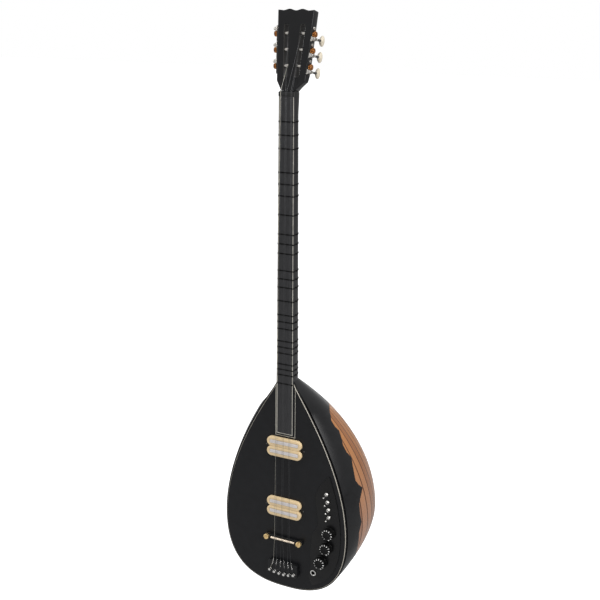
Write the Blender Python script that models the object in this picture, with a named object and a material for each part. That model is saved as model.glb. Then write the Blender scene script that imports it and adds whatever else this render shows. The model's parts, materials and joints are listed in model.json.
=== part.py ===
"""Electric long-necked bowl lute with geared tuners, pickups, controls and strings, each piece an object.

Metres. X runs to the right of the front view, -Y out of the soundboard and Z up the neck. The origin is on
the centre line at the nut, in the plane of the soundboard's face.
"""

import math
from bisect import bisect_left

import bmesh
import bpy
from mathutils import Matrix, Vector

# Clearances between pieces that touch and round shafts in their holes
GAP = 0.0003
SHAFT_CLEARANCE = 0.0003

# String length, and the traditional fret places as ratios of it
SCALE_LENGTH = 0.880
FRET_RATIOS = (
    18 / 17, 12 / 11, 9 / 8, 81 / 68, 27 / 22, 81 / 64, 4 / 3, 24 / 17, 16 / 11, 3 / 2, 27 / 17, 18 / 11,
    27 / 16, 16 / 9, 32 / 17, 64 / 33, 2, 36 / 17, 24 / 11, 9 / 4, 81 / 34, 27 / 11, 81 / 32, 8 / 3,
)

# Neck, fingerboard and nut
NECK_HALF_AT_NUT = 0.0159
NECK_HALF_AT_BODY = 0.0179
NECK_DEPTH_AT_NUT = 0.0245
NECK_DEPTH_AT_BODY = 0.031
VOLUTE_DEPTH = 0.0045
VOLUTE_LENGTH = 0.042
NECK_SQUARENESS = 3.0
NECK_SIDES = 14
TENON_LENGTH = 0.030
FINGERBOARD_THICKNESS = 0.003
FINGERBOARD_TO_PICKUP = 0.0079
FRET_WIDTH = 0.0012
FRET_HEIGHT = 0.0008
NUT_THICKNESS = 0.0082
NUT_PAST_ZERO = 0.0042
NUT_RISE = 0.001

# Body outline and bowl
BODY_LENGTH = 0.4446
BRIDGE_TO_TAIL = 0.1086
BELLY_TO_TAIL = 0.135
BODY_HALF_WIDTH = 0.1370
BODY_DEPTH = 0.222
DEEPEST_TO_TAIL = 0.1646
BOWL_WALL = 0.004
TAIL_BLOCK_LENGTH = 0.022
TAIL_LIP = 0.0015
HEEL_BLEND = 0.070
SOUNDBOARD_THICKNESS = 0.003
BINDING_WIDTH = 0.0034

# Pull of the curves' handles, as shares of the span that each curve crosses
SHOULDER_SPREAD = 0.028
SHOULDER_DROP = 0.061
SHOULDER_PULL = 0.483
TAIL_SIDE_PULL = 0.995
TAIL_END_PULL = 0.292
HEEL_SWELL = 0.525
HEEL_DROP = 0.246
BACK_PULL = 0.369
BACK_TAIL_PULL = 0.52
BACK_END_PULL = 0.134
OUTLINE_STEPS = 14
DENSE_STEPS = 120
BOWL_STATIONS = 18
BOWL_SIDES = 20

# Headstock, with a slot along each side and a web between them
HEAD_TILT = math.radians(8.4)
HEAD_SETBACK = 0.0093
HEAD_HALF_WAIST = 0.0136
HEAD_HALF_LOW = 0.0288
HEAD_HALF_TOP = 0.0364
HEAD_FLARE = 0.0180
HEAD_THICKNESS = 0.019
HEAD_CROWN = 0.0420
HEAD_BACK_RUN = 0.036
HEAD_COLUMNS = 16
HEAD_EDGE_SHARE = 0.2
CROWN_WAVE = 0.001
CROWN_BUMP = 0.013
SLOT_TO_SIDE = 0.0121
SLOT_WIDTH = 0.0117
SLOT_BELOW_ROLLER = 0.0193
SLOT_ABOVE_ROLLER = 0.0171

# Tuners: a roller with a gear, driven by a worm with a button behind it
TUNERS_PER_SIDE = 3
ROLLER_FIRST = 0.0443
ROLLER_PITCH = 0.0288
ROLLER_BEHIND = 0.0060
ROLLER_RADIUS = 0.0035
ROLLER_SEAT = 0.003
SHAFT_RADIUS = 0.0022
GEAR_TEETH = 14
GEAR_TIP_RADIUS = 0.00565
GEAR_ROOT_RADIUS = 0.00435
GEAR_PITCH_RADIUS = 0.00498
GEAR_WIDTH = 0.0026
GEAR_MID = 0.0053
GEAR_HUB_RADIUS = 0.0050
GEAR_BOSS_RADIUS = 0.0050
GEAR_BOSS_HEIGHT = 0.0018
MESH_DEPTH = 0.00065
WORM_TIP_RADIUS = 0.0031
WORM_ROOT_RADIUS = 0.0020
WORM_HALF_LENGTH = 0.0036
WORM_SIDES = 12
THREAD_PROFILE = ((0.28, 0), (0.42, 1), (0.58, 1), (0.72, 0))
THREAD_RUNOUT = 0.08
JOURNAL_RADIUS = 0.0013
BUTTON_START = 0.0220
BUTTON_SOCKET = 0.006
BUTTON_PROFILE = (
    (0, 0.0028, 0.0028), (0.0022, 0.0034, 0.0036), (0.0034, 0.0040, 0.0064), (0.0062, 0.0043, 0.0092),
    (0.0094, 0.0041, 0.0099), (0.0122, 0.0034, 0.0086), (0.0140, 0.0020, 0.0054),
)
TUNER_PLATE_THICKNESS = 0.0015
TUNER_PLATE_HALF_WIDTH = 0.0058
TUNER_PLATE_END = 0.0145
EAR_THICKNESS = 0.0020
EAR_RIM = 0.0030
EAR_FOOT = 0.0055

# Strings, from their hitch pins over the bridge and nut to the rollers
STRING_COUNT = 6
STRING_RADIUS = 0.0003
COURSE_AT_NUT = 0.0103
COURSE_AT_BRIDGE = 0.0155
PAIR_AT_NUT = 0.0022
PAIR_AT_BRIDGE = 0.0030
TAIL_STRING_PITCH = 0.0080
ROLLER_STRING_FROM_CENTRE = (0.0100, 0.0120, 0.0138)

# Bridge: a beam on two screw posts, with a rod for a saddle
POST_FROM_CENTRE = 0.0366
POST_RADIUS = 0.0030
POST_FOOT_RADIUS = 0.0042
POST_FOOT_HEIGHT = 0.0010
POST_HEAD_RADIUS = 0.0050
POST_HEAD_HEIGHT = 0.0060
POST_DEPTH = 0.008
BEAM_HEIGHT = 0.0050
BEAM_HALF_WIDTH = 0.0045
BEAM_PAST_POST = 0.0060
ROD_RADIUS = 0.0022
ROD_HALF_LENGTH = 0.0267

# Tailpiece: a block with six hitch pins
TAILPIECE_FROM_TAIL = 0.0306
TAILPIECE_LENGTH = 0.028
TAILPIECE_HALF_WIDTH = 0.033
TAILPIECE_HEIGHT = 0.009
TAILPIECE_CORNER = 0.004
PIN_FROM_TAIL = 0.0391
PIN_PITCH = 0.0108
PIN_BOW = 0.004
PIN_RADIUS = 0.0015
PIN_HEAD_RADIUS = 0.0027
PIN_STEM = 0.0055
PIN_HEAD_HEIGHT = 0.0018
PIN_CROWN_HEIGHT = 0.0009
PIN_CROWN_RADIUS = 0.0017
PIN_ROOT = 0.003
LOOP_RISE = 0.0012

# Pickups: two bobbins side by side, each with a blade
BRIDGE_PICKUP_FROM_BRIDGE = 0.0685
NECK_PICKUP_FROM_BRIDGE = 0.1968
PICKUP_HALF_LENGTH = 0.038
BOBBIN_PITCH = 0.0202
BOBBIN_LAP = 0.0001
PICKUP_HEIGHT = 0.0060
PICKUP_BODY_DEPTH = 0.012
PICKUP_BODY_SHARE = 0.90
PICKUP_HOLE_SHARE = 0.93
PICKUP_ARC_STEPS = 6
BLADE_HALF_LENGTH = 0.031
BLADE_HALF_WIDTH = 0.0034
BLADE_SEAT = 0.004
BLADE_PROUD = 0.0005

# Control plate, as distances in from the rim at arc lengths from the belly, positive towards the tail
PLATE_RIM_INSET = 0.0128
PLATE_THICKNESS = 0.0015
PLATE_LEDGE = 0.006
PLATE_INNER_EDGE = (
    (-0.137, 0.0148), (-0.128, 0.0313), (-0.112, 0.0473), (-0.097, 0.0553), (-0.078, 0.0588),
    (-0.028, 0.0599), (-0.0146, 0.0660), (0.001, 0.0745), (0.039, 0.0748), (0.073, 0.0720), (0.110, 0.0613),
    (0.142, 0.0453), (0.154, 0.0313),
)
PLATE_STATIONS = 24
OPENING_END_MARGIN = 0.012

# Controls on the plate
KNOB_ARCS = (-0.0127, 0.0262, 0.0751)
KNOB_FIRST_INSET = 0.0364
KNOB_INSET_STEP = 0.0034
KNOB_SKIRT_RADIUS = 0.0130
KNOB_SKIRT_HEIGHT = 0.0022
KNOB_BODY_RADIUS = 0.0124
KNOB_SHOULDER_HEIGHT = 0.0106
KNOB_TOP_RADIUS = 0.0076
KNOB_HEIGHT = 0.0130
KNOB_RECESS_RADIUS = 0.0090
KNOB_FLOAT = 0.0006
KNOB_SIDES = 16
SPINDLE_RADIUS = 0.0030
SPINDLE_DEPTH = 0.008
POT_BUSH_RADIUS = 0.0040
POT_BUSH_HEIGHT = 0.0026
POT_NUT_RADIUS = 0.0058
POT_NUT_HEIGHT = 0.0018
POT_CAN_RADIUS = 0.0085
POT_CAN_DEPTH = 0.009
UNDER_PLATE = 0.0015
CONTROL_FLOOR = 0.001
SWITCH_FIRST_ARC = -0.1022
SWITCH_ARC_PITCH = 0.0173
SWITCH_FIRST_INSET = 0.0288
SWITCH_INSET_STEP = 0.0017
SWITCH_COUNT = 4
SWITCH_BUSH_RADIUS = 0.0030
SWITCH_BUSH_HEIGHT = 0.0060
SWITCH_BORE_RADIUS = 0.0022
SWITCH_NUT_RADIUS = 0.0039
SWITCH_NUT_HEIGHT = 0.0018
SWITCH_BODY_HALF = (0.0040, 0.0065)
SWITCH_BODY_DEPTH = 0.0095
LEVER_PIVOT_BELOW_TOP = 0.0015
LEVER_THROW = math.radians(24)
LEVER_PROFILE = ((0.0009, -0.0030), (0.0009, -0.0014), (0.0017, 0), (0.0009, 0.0014), (0.0010, 0.0050),
                 (0.0015, 0.0095), (0.0014, 0.0108), (0.0007, 0.0115))
LEVER_SIDES = 8
TURNED_SIDES = 12
JACK_ARC = 0.1315
JACK_INSET = 0.0375
JACK_BORE_RADIUS = 0.00325
JACK_BUSH_RADIUS = 0.0045
JACK_NUT_RADIUS = 0.0062
JACK_NUT_HEIGHT = 0.0025
JACK_SLEEVE_RADIUS = 0.0055
JACK_SLEEVE_DEPTH = 0.028

# Places along the centre line that follow from the sizes above
V_BRIDGE = -SCALE_LENGTH
V_TAIL = V_BRIDGE - BRIDGE_TO_TAIL
V_JOINT = V_TAIL + BODY_LENGTH
V_BELLY = V_TAIL + BELLY_TO_TAIL
V_DEEPEST = V_TAIL + DEEPEST_TO_TAIL
NUT_FRONT = GAP - NUT_PAST_ZERO
HEAD_START = NUT_FRONT + NUT_THICKNESS + GAP
HEAD_LENGTH = ROLLER_FIRST + (TUNERS_PER_SIDE - 1) * ROLLER_PITCH + HEAD_CROWN
FINGERBOARD_TOP = GAP + FINGERBOARD_THICKNESS
NUT_TOP = FINGERBOARD_TOP + NUT_RISE
RIM_DEPTH = SOUNDBOARD_THICKNESS + GAP
PLATE_TOP = GAP + PLATE_THICKNESS
BEAM_LOW = POST_FOOT_HEIGHT + 2 * GAP
BEAM_TOP = BEAM_LOW + BEAM_HEIGHT
ROD_CENTRE = BEAM_TOP + GAP + ROD_RADIUS
TAILPIECE_TOP = GAP + TAILPIECE_HEIGHT
STRING_LIFT = GAP + STRING_RADIUS
WORM_CENTRES = GEAR_TIP_RADIUS + WORM_TIP_RADIUS - MESH_DEPTH
THREAD_LEAD = 2 * math.pi * GEAR_PITCH_RADIUS / GEAR_TEETH
BOBBIN_RADIUS = BOBBIN_PITCH / 2 + BOBBIN_LAP
PICKUP_HALF_HEIGHT = BOBBIN_PITCH / 2 + BOBBIN_RADIUS


# Shared modelling helpers


def clear_scene():
    for obj in list(bpy.data.objects):
        bpy.data.objects.remove(obj, do_unlink=True)


def finish(name, color, roughness, metallic):
    """A Principled material for one kind of surface."""
    material = bpy.data.materials.new(name)
    material.use_nodes = True
    shader = material.node_tree.nodes["Principled BSDF"]
    shader.inputs["Base Color"].default_value = (*color, 1)
    shader.inputs["Roughness"].default_value = roughness
    shader.inputs["Metallic"].default_value = metallic
    return material


def empty(name, parent, local):
    """A frame that pieces are placed in."""
    obj = bpy.data.objects.new(name, None)
    bpy.context.scene.collection.objects.link(obj)
    obj.parent = parent
    obj.matrix_basis = local
    return obj


def add(name, mesh, parent, local=Matrix()):
    """An object of this mesh, placed in its parent's frame."""
    obj = bpy.data.objects.new(name, mesh)
    bpy.context.scene.collection.objects.link(obj)
    obj.parent = parent
    obj.matrix_basis = local
    return obj


def mesh_of(name, bm, material=None):
    """The finished mesh of a bmesh, shaded smooth between its sharp edges."""
    bmesh.ops.recalc_face_normals(bm, faces=bm.faces)
    mesh = bpy.data.meshes.new(name)
    bm.to_mesh(mesh)
    bm.free()
    mesh.shade_smooth()
    mesh.set_sharp_from_angle(angle=math.radians(35))
    if material:
        mesh.materials.append(material)
    return mesh


def loft(bm, rings):
    """A closed skin over rings of equal counts, capped at both ends."""
    rows = [[bm.verts.new(point) for point in ring] for ring in rings]
    count = len(rows[0])
    for low, high in zip(rows, rows[1:]):
        for i in range(count):
            j = (i + 1) % count
            bm.faces.new((low[i], low[j], high[j], high[i]))
    bm.faces.new(reversed(rows[0]))
    bm.faces.new(rows[-1])


def lofted(name, material, *skins):
    """A mesh of one or more lofted skins."""
    bm = bmesh.new()
    for rings in skins:
        loft(bm, rings)
    return mesh_of(name, bm, material)


def circle(radius, height, sides):
    """A ring about the local Z axis."""
    turns = [2 * math.pi * i / sides for i in range(sides)]
    return [Vector((radius * math.cos(a), radius * math.sin(a), height)) for a in turns]


def turned(profile, sides):
    """Rings of a shape turned about the local Z axis, from (radius, height) pairs."""
    return [circle(radius, height, sides) for radius, height in profile]


def rectangle(half_x, half_y, height, sides):
    """A ring on a rectangle's edge, with as many points on each side, starting like a circle at +X."""
    quarter = sides // 4
    signs = ((1, -1), (1, 1), (-1, 1), (-1, -1))
    corners = [Vector((x * half_x, y * half_y)) for x, y in signs]
    points = []
    for start, end in zip(corners, corners[1:] + corners[:1]):
        points += [start.lerp(end, i / quarter) for i in range(quarter)]
    points = points[quarter // 2:] + points[:quarter // 2]
    return [Vector((p.x, p.y, height)) for p in points]


def rounded(half_x, half_y, corner, steps=3):
    """A rounded rectangle's outline in the local XY plane."""
    points = []
    for turn, sign_x, sign_y in ((0, 1, 1), (1, -1, 1), (2, -1, -1), (3, 1, -1)):
        for i in range(steps + 1):
            a = math.pi / 2 * (turn + i / steps)
            x = sign_x * (half_x - corner) + corner * math.cos(a)
            points.append((x, sign_y * (half_y - corner) + corner * math.sin(a)))
    return points


def prism(outline, low, high):
    """Two rings that carry an XY outline from one height to another."""
    return [[Vector((x, y, h)) for x, y in outline] for h in (low, high)]


def block(low, high):
    """The two rings of a box between two corners."""
    corners = ((low[0], low[1]), (high[0], low[1]), (high[0], high[1]), (low[0], high[1]))
    return prism(corners, low[2], high[2])


def helper(name, parent, local, *skins):
    """A hidden solid that cuts or extends another piece."""
    obj = add(name, lofted(name, None, *skins), parent, local)
    obj.hide_render = True
    obj.display_type = "WIRE"
    return obj


def boolean(obj, operation, other):
    modifier = obj.modifiers.new(other.name, "BOOLEAN")
    modifier.operation = operation
    modifier.object = other


def moved(rings, matrix):
    return [[matrix @ point for point in ring] for ring in rings]


def cubic(p0, p1, p2, p3, steps):
    """Points along a cubic curve, both ends included."""
    points = []
    for i in range(steps + 1):
        t = i / steps
        s = 1 - t
        points.append(s**3 * p0 + 3 * s * s * t * p1 + 3 * s * t * t * p2 + t**3 * p3)
    return points


def read_off(table, x):
    """A straight-line reading of a table of (x, y) pairs that rises in x."""
    xs = [pair[0] for pair in table]
    i = min(max(bisect_left(xs, x), 1), len(xs) - 1)
    (x0, y0), (x1, y1) = table[i - 1], table[i]
    return y0 + (y1 - y0) * (x - x0) / (x1 - x0)


def smooth_step(x):
    x = min(max(x, 0), 1)
    return x * x * (3 - 2 * x)


# Body curves: the soundboard's right edge and the bowl's back line, from the neck joint to the tail


def edge_curve(steps):
    shoulder = V_JOINT - V_BELLY
    start = Vector((NECK_HALF_AT_BODY, V_JOINT))
    spread = BODY_HALF_WIDTH - NECK_HALF_AT_BODY
    flare = start + Vector((SHOULDER_SPREAD * spread, -SHOULDER_DROP * shoulder))
    above_belly = Vector((BODY_HALF_WIDTH, V_BELLY + SHOULDER_PULL * shoulder))
    belly = Vector((BODY_HALF_WIDTH, V_BELLY))
    below_belly = Vector((BODY_HALF_WIDTH, V_BELLY - TAIL_SIDE_PULL * BELLY_TO_TAIL))
    by_tail = Vector((TAIL_END_PULL * BODY_HALF_WIDTH, V_TAIL))
    tail = Vector((0, V_TAIL))
    lower = cubic(belly, below_belly, by_tail, tail, steps)
    return cubic(start, flare, above_belly, belly, steps) + lower[1:]


def back_curve(steps):
    span = V_JOINT - V_DEEPEST
    start = Vector((NECK_DEPTH_AT_BODY, V_JOINT))
    swell = start + Vector((HEEL_SWELL * (BODY_DEPTH - NECK_DEPTH_AT_BODY), -HEEL_DROP * span))
    above = Vector((BODY_DEPTH, V_DEEPEST + BACK_PULL * span))
    deepest = Vector((BODY_DEPTH, V_DEEPEST))
    below = Vector((BODY_DEPTH, V_DEEPEST - BACK_TAIL_PULL * DEEPEST_TO_TAIL))
    by_tail = Vector((BACK_END_PULL * BODY_DEPTH, V_TAIL))
    tail = Vector((0, V_TAIL))
    lower = cubic(deepest, below, by_tail, tail, steps)
    return cubic(start, swell, above, deepest, steps) + lower[1:]


EDGE = edge_curve(DENSE_STEPS)
EDGE_BY_V = [(p.y, p.x) for p in reversed(EDGE)]
BACK_BY_V = [(p.y, p.x) for p in reversed(back_curve(DENSE_STEPS))]


def inset_edge(points, inset):
    """The right edge moved inwards, at right angles to itself."""
    moved_in = []
    for i, point in enumerate(points):
        along = (points[min(i + 1, len(points) - 1)] - points[max(i - 1, 0)]).normalized()
        if i == len(points) - 1:
            along = Vector((-1, 0))
        moved_in.append(point + inset * Vector((along.y, -along.x)))
    return moved_in


def rim_places():
    """Arc length from the belly of each point of the dense edge."""
    arcs = [0]
    for a, b in zip(EDGE, EDGE[1:]):
        arcs.append(arcs[-1] + (b - a).length)
    return [arc - arcs[DENSE_STEPS] for arc in arcs]


RIM_ARCS = rim_places()


def rim_point(arc, inset):
    """The place this far in from the rim, at an arc length from the belly."""
    i = min(max(bisect_left(RIM_ARCS, arc), 1), len(EDGE) - 1)
    share = (arc - RIM_ARCS[i - 1]) / (RIM_ARCS[i] - RIM_ARCS[i - 1])
    along = (EDGE[i] - EDGE[i - 1]).normalized()
    return EDGE[i - 1].lerp(EDGE[i], share) + inset * Vector((along.y, -along.x))


def neck_half(v):
    return NECK_HALF_AT_NUT + (NECK_HALF_AT_BODY - NECK_HALF_AT_NUT) * v / V_JOINT


def neck_depth(v):
    volute = VOLUTE_DEPTH * smooth_step(1 + v / VOLUTE_LENGTH)
    return NECK_DEPTH_AT_NUT + (NECK_DEPTH_AT_BODY - NECK_DEPTH_AT_NUT) * v / V_JOINT + volute


def square_section(half, depth, top, sides):
    """A neck's U-shaped section below a level, from its right edge round to its left edge."""
    start = math.asin((top / depth) ** (NECK_SQUARENESS / 2))
    points = []
    for i in range(sides + 1):
        a = start + (math.pi - 2 * start) * i / sides
        x = half * math.copysign(abs(math.cos(a)) ** (2 / NECK_SQUARENESS), math.cos(a))
        points.append(Vector((x, -depth * math.sin(a) ** (2 / NECK_SQUARENESS))))
    return points


def round_section(half, depth, top, sides):
    """A bowl's section below a level: an arc through both rim edges and the deepest point."""
    radius = (depth * depth + half * half) / (2 * depth)
    centre = depth - radius
    start = math.asin((top - centre) / radius)
    points = []
    for i in range(sides + 1):
        a = start + (math.pi - 2 * start) * i / sides
        points.append(Vector((radius * math.cos(a), -centre - radius * math.sin(a))))
    return points


def bowl_section(v, wall):
    """The bowl's section at a station, moved in by a wall: square like the neck at the heel, then round."""
    half = read_off(EDGE_BY_V, v) - wall
    depth = read_off(BACK_BY_V, v) - wall
    share = smooth_step((V_JOINT - v) / HEEL_BLEND)
    square = square_section(half, depth, RIM_DEPTH, BOWL_SIDES)
    arc = round_section(half, depth, RIM_DEPTH, BOWL_SIDES)
    points = [a.lerp(b, share) for a, b in zip(square, arc)]
    return [Vector((p.x, v, p.y)) for p in points]


# Wooden pieces


def make_bowl(face, wood):
    """A shell, open along the soundboard and at the neck's mouth, with a thick block inside at the tail."""
    outer_run = BODY_LENGTH - TAIL_LIP
    inner_run = BODY_LENGTH - TAIL_BLOCK_LENGTH
    shares = [math.sin(math.pi / 2 * i / BOWL_STATIONS) for i in range(BOWL_STATIONS + 1)]
    bm = bmesh.new()
    outer = [[bm.verts.new(p) for p in bowl_section(V_JOINT - outer_run * s, 0)] for s in shares]
    inner = [[bm.verts.new(p) for p in bowl_section(V_JOINT - inner_run * s, BOWL_WALL)] for s in shares]
    for skin in (outer, inner):
        for low, high in zip(skin, skin[1:]):
            for i in range(BOWL_SIDES):
                bm.faces.new((low[i], low[i + 1], high[i + 1], high[i]))
        bm.faces.new(skin[-1])
    for i in range(BOWL_SIDES):
        bm.faces.new((outer[0][i], outer[0][i + 1], inner[0][i + 1], inner[0][i]))
    for edge in (0, -1):
        for i in range(BOWL_STATIONS):
            bm.faces.new((outer[i][edge], outer[i + 1][edge], inner[i + 1][edge], inner[i][edge]))
    bm.faces.new((outer[-1][0], outer[-1][-1], inner[-1][-1], inner[-1][0]))
    add("bowl", mesh_of("bowl", bm, wood), face)


def make_soundboard(face, lacquer):
    """A flat plate inside the binding, with holes for the pickups, the controls and the bridge posts."""
    right = inset_edge(edge_curve(OUTLINE_STEPS), BINDING_WIDTH + GAP)
    outline = [(p.x, p.y) for p in right] + [(-p.x, p.y) for p in reversed(right[:-1])]
    board = add("soundboard", lofted("soundboard", lacquer, prism(outline, -SOUNDBOARD_THICKNESS, 0)), face)
    low, high = -2 * SOUNDBOARD_THICKNESS, SOUNDBOARD_THICKNESS
    skins = [control_strip(PLATE_LEDGE, OPENING_END_MARGIN, low, high)]
    for v in pickup_places().values():
        hole = prism(pickup_outline(PICKUP_HOLE_SHARE), low, high)
        skins.append(moved(hole, Matrix.Translation((0, v, 0))))
    radius = POST_RADIUS + SHAFT_CLEARANCE
    for side in (-1, 1):
        hole = turned(((radius, low), (radius, high)), TURNED_SIDES)
        skins.append(moved(hole, Matrix.Translation((side * POST_FROM_CENTRE, V_BRIDGE, 0))))
    boolean(board, "DIFFERENCE", helper("soundboard_openings", face, Matrix(), *skins))


def make_binding(face, cream):
    """A strip round the soundboard's edge, from one side of the neck joint round the tail to the other."""
    right = edge_curve(OUTLINE_STEPS)
    inner = inset_edge(right, BINDING_WIDTH)
    pairs = list(zip(right, inner))
    pairs += [(Vector((-a.x, a.y)), Vector((-b.x, b.y))) for a, b in reversed(pairs[:-1])]
    low = -SOUNDBOARD_THICKNESS
    rings = []
    for a, b in pairs:
        rings.append([Vector((*p, h)) for p, h in ((a, 0), (b, 0), (b, low), (a, low))])
    add("soundboard_binding", lofted("soundboard_binding", cream, rings), face)


def make_neck(face, wood):
    """A U-shaped neck, thicker behind the nut, with a tenon that enters the bowl's mouth."""
    end = square_section(neck_half(HEAD_START), neck_depth(HEAD_START), 0, NECK_SIDES)
    rings = [[Vector((p.x, HEAD_START + (p.y + HEAD_SETBACK) * math.tan(HEAD_TILT), p.y)) for p in end]]
    for v in (-VOLUTE_LENGTH / 3, -2 * VOLUTE_LENGTH / 3, -VOLUTE_LENGTH, V_JOINT / 2, V_JOINT + GAP):
        section = square_section(neck_half(v), neck_depth(v), 0, NECK_SIDES)
        rings.append([Vector((p.x, v, p.y)) for p in section])
    half = NECK_HALF_AT_BODY - BOWL_WALL - GAP
    depth = NECK_DEPTH_AT_BODY - BOWL_WALL - GAP
    tenon = square_section(half, depth, RIM_DEPTH + GAP, NECK_SIDES)
    for v in (V_JOINT + GAP, V_JOINT - TENON_LENGTH):
        rings.append([Vector((p.x, v, p.y)) for p in tenon])
    add("neck", lofted("neck", wood, rings), face)


def make_fingerboard(face, wood):
    """A tapered board with a ridge for each tied fret, ending short of the neck pickup."""
    end = pickup_places()["neck"] + PICKUP_HALF_HEIGHT + FINGERBOARD_TO_PICKUP
    start = NUT_FRONT - GAP
    profile = [(start, GAP), (start, FINGERBOARD_TOP)]
    for ratio in FRET_RATIOS:
        v = -SCALE_LENGTH * (1 - 1 / ratio)
        for offset, rise in ((0.5, 0), (0.25, 1), (-0.25, 1), (-0.5, 0)):
            profile.append((v + offset * FRET_WIDTH, FINGERBOARD_TOP + rise * FRET_HEIGHT))
    profile += [(end, FINGERBOARD_TOP), (end, GAP)]
    rings = [[Vector((side * neck_half(v), v, h)) for v, h in profile] for side in (-1, 1)]
    add("fingerboard", lofted("fingerboard", wood, rings), face)


def make_nut(face, bone):
    """A bar across the neck, from a little past the frets' zero line up to the head."""
    corner = (NECK_HALF_AT_NUT, NUT_FRONT + NUT_THICKNESS, NUT_TOP)
    add("nut", lofted("nut", bone, block((-NECK_HALF_AT_NUT, NUT_FRONT, GAP), corner)), face)


# Headstock


def head_half(s):
    if s < HEAD_FLARE:
        return HEAD_HALF_WAIST + (HEAD_HALF_LOW - HEAD_HALF_WAIST) * s / HEAD_FLARE
    return HEAD_HALF_LOW + (HEAD_HALF_TOP - HEAD_HALF_LOW) * (s - HEAD_FLARE) / (HEAD_LENGTH - HEAD_FLARE)


def crown(x):
    """Height of the headstock's waved top edge above its mean."""
    return CROWN_WAVE * math.cos(math.pi * (abs(x) - CROWN_BUMP) / CROWN_BUMP)


def head_column(s, u, lift=0):
    """Front and back points of the headstock at a height and a share of its half width."""
    settle = smooth_step(s / HEAD_BACK_RUN)
    front = HEAD_SETBACK / math.cos(HEAD_TILT) * max(0, 1 - s / HEAD_FLARE)
    neck_back = neck_depth(0) - HEAD_SETBACK
    depth = front + neck_back + (HEAD_THICKNESS - neck_back) * settle
    roundness = (1 - HEAD_EDGE_SHARE) * (1 - settle)
    curve = (1 - abs(u) ** NECK_SQUARENESS) ** (1 / NECK_SQUARENESS)
    back = front - depth * (1 - roundness + roundness * curve)
    x = u * head_half(s)
    return Vector((x, s + lift, front)), Vector((x, s + lift, back))


def make_headstock(head, wood):
    """A flared head that grows out of the neck's section, slotted each side for the rollers."""
    shares = [2 * i / HEAD_COLUMNS - 1 for i in range(HEAD_COLUMNS + 1)]
    rings = []
    for s in (GAP, HEAD_FLARE / 2, HEAD_FLARE, HEAD_BACK_RUN, HEAD_LENGTH):
        top = s == HEAD_LENGTH
        columns = [head_column(s, u, crown(u * HEAD_HALF_TOP) if top else 0) for u in shares]
        rings.append([front for front, _ in columns] + [back for _, back in reversed(columns)])
    mesh = lofted("headstock", wood, rings)
    bm = bmesh.new()
    bm.from_mesh(mesh)
    bmesh.ops.dissolve_limit(bm, angle_limit=math.radians(0.2), verts=bm.verts, edges=bm.edges)
    bm.to_mesh(mesh)
    bm.free()
    obj = add("headstock", mesh, head)
    low = ROLLER_FIRST - SLOT_BELOW_ROLLER
    high = ROLLER_FIRST + (TUNERS_PER_SIDE - 1) * ROLLER_PITCH + SLOT_ABOVE_ROLLER
    past = HEAD_SETBACK + HEAD_THICKNESS
    corners = [(SLOT_TO_SIDE + SLOT_WIDTH, low), (SLOT_TO_SIDE, low)]
    corners += [(SLOT_TO_SIDE, high), (SLOT_TO_SIDE + SLOT_WIDTH, high)]
    skins = []
    for side in (-1, 1):
        outline = [(side * (head_half(s) - inset), s) for inset, s in corners]
        skins.append(prism(outline, -past, past))
    boolean(obj, "DIFFERENCE", helper("headstock_slots", head, Matrix(), *skins))
    return obj


# Tuners


def tuner_frame(side, s):
    """A frame on the headstock's side: X outwards, Z out of the face, Y up on the right, down on the left."""
    slant = math.atan((HEAD_HALF_TOP - HEAD_HALF_LOW) / (HEAD_LENGTH - HEAD_FLARE))
    turn = -slant if side > 0 else math.pi + slant
    return Matrix.Translation((side * head_half(s), s, -ROLLER_BEHIND)) @ Matrix.Rotation(turn, 4, "Z")


OUTWARD = Matrix.Rotation(math.pi / 2, 4, "Y")


def gear_ring(height):
    """Teeth as points between the gear's tip and root radii, with a tip towards the worm."""
    points = []
    for i in range(2 * GEAR_TEETH):
        radius = GEAR_ROOT_RADIUS if i % 2 else GEAR_TIP_RADIUS
        a = math.pi * i / GEAR_TEETH - math.pi / 2
        points.append(Vector((radius * math.cos(a), radius * math.sin(a), height)))
    return points


def roller_mesh(name, reach, steel):
    """A string roller, its shaft through the plate and the gear outside."""
    sides = 2 * GEAR_TEETH
    low, high = GEAR_MID - GEAR_WIDTH / 2, GEAR_MID + GEAR_WIDTH / 2
    quarter = Matrix.Rotation(-math.pi / 2, 4, "Z")
    hub = TUNER_PLATE_THICKNESS + 2 * GAP
    barrel = ((ROLLER_RADIUS, -reach), (ROLLER_RADIUS, 0), (SHAFT_RADIUS, 0), (SHAFT_RADIUS, hub),
              (GEAR_HUB_RADIUS, hub), (GEAR_HUB_RADIUS, low))
    rings = moved(turned(barrel, sides), quarter) + [gear_ring(low), gear_ring(high)]
    boss = turned(((GEAR_BOSS_RADIUS, high), (GEAR_BOSS_RADIUS, high + GEAR_BOSS_HEIGHT)), sides)
    return lofted(name, steel, rings + moved(boss, quarter))


def thread_point(turn, share, raised):
    """A point of the worm's thread, held at the root radius past the thread's ends."""
    height = THREAD_LEAD * (share + turn)
    limit = WORM_HALF_LENGTH
    if abs(height) > limit - THREAD_RUNOUT * THREAD_LEAD:
        height = math.copysign(limit, height)
        raised = 0
    radius = WORM_TIP_RADIUS if raised else WORM_ROOT_RADIUS
    return radius, height


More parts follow.
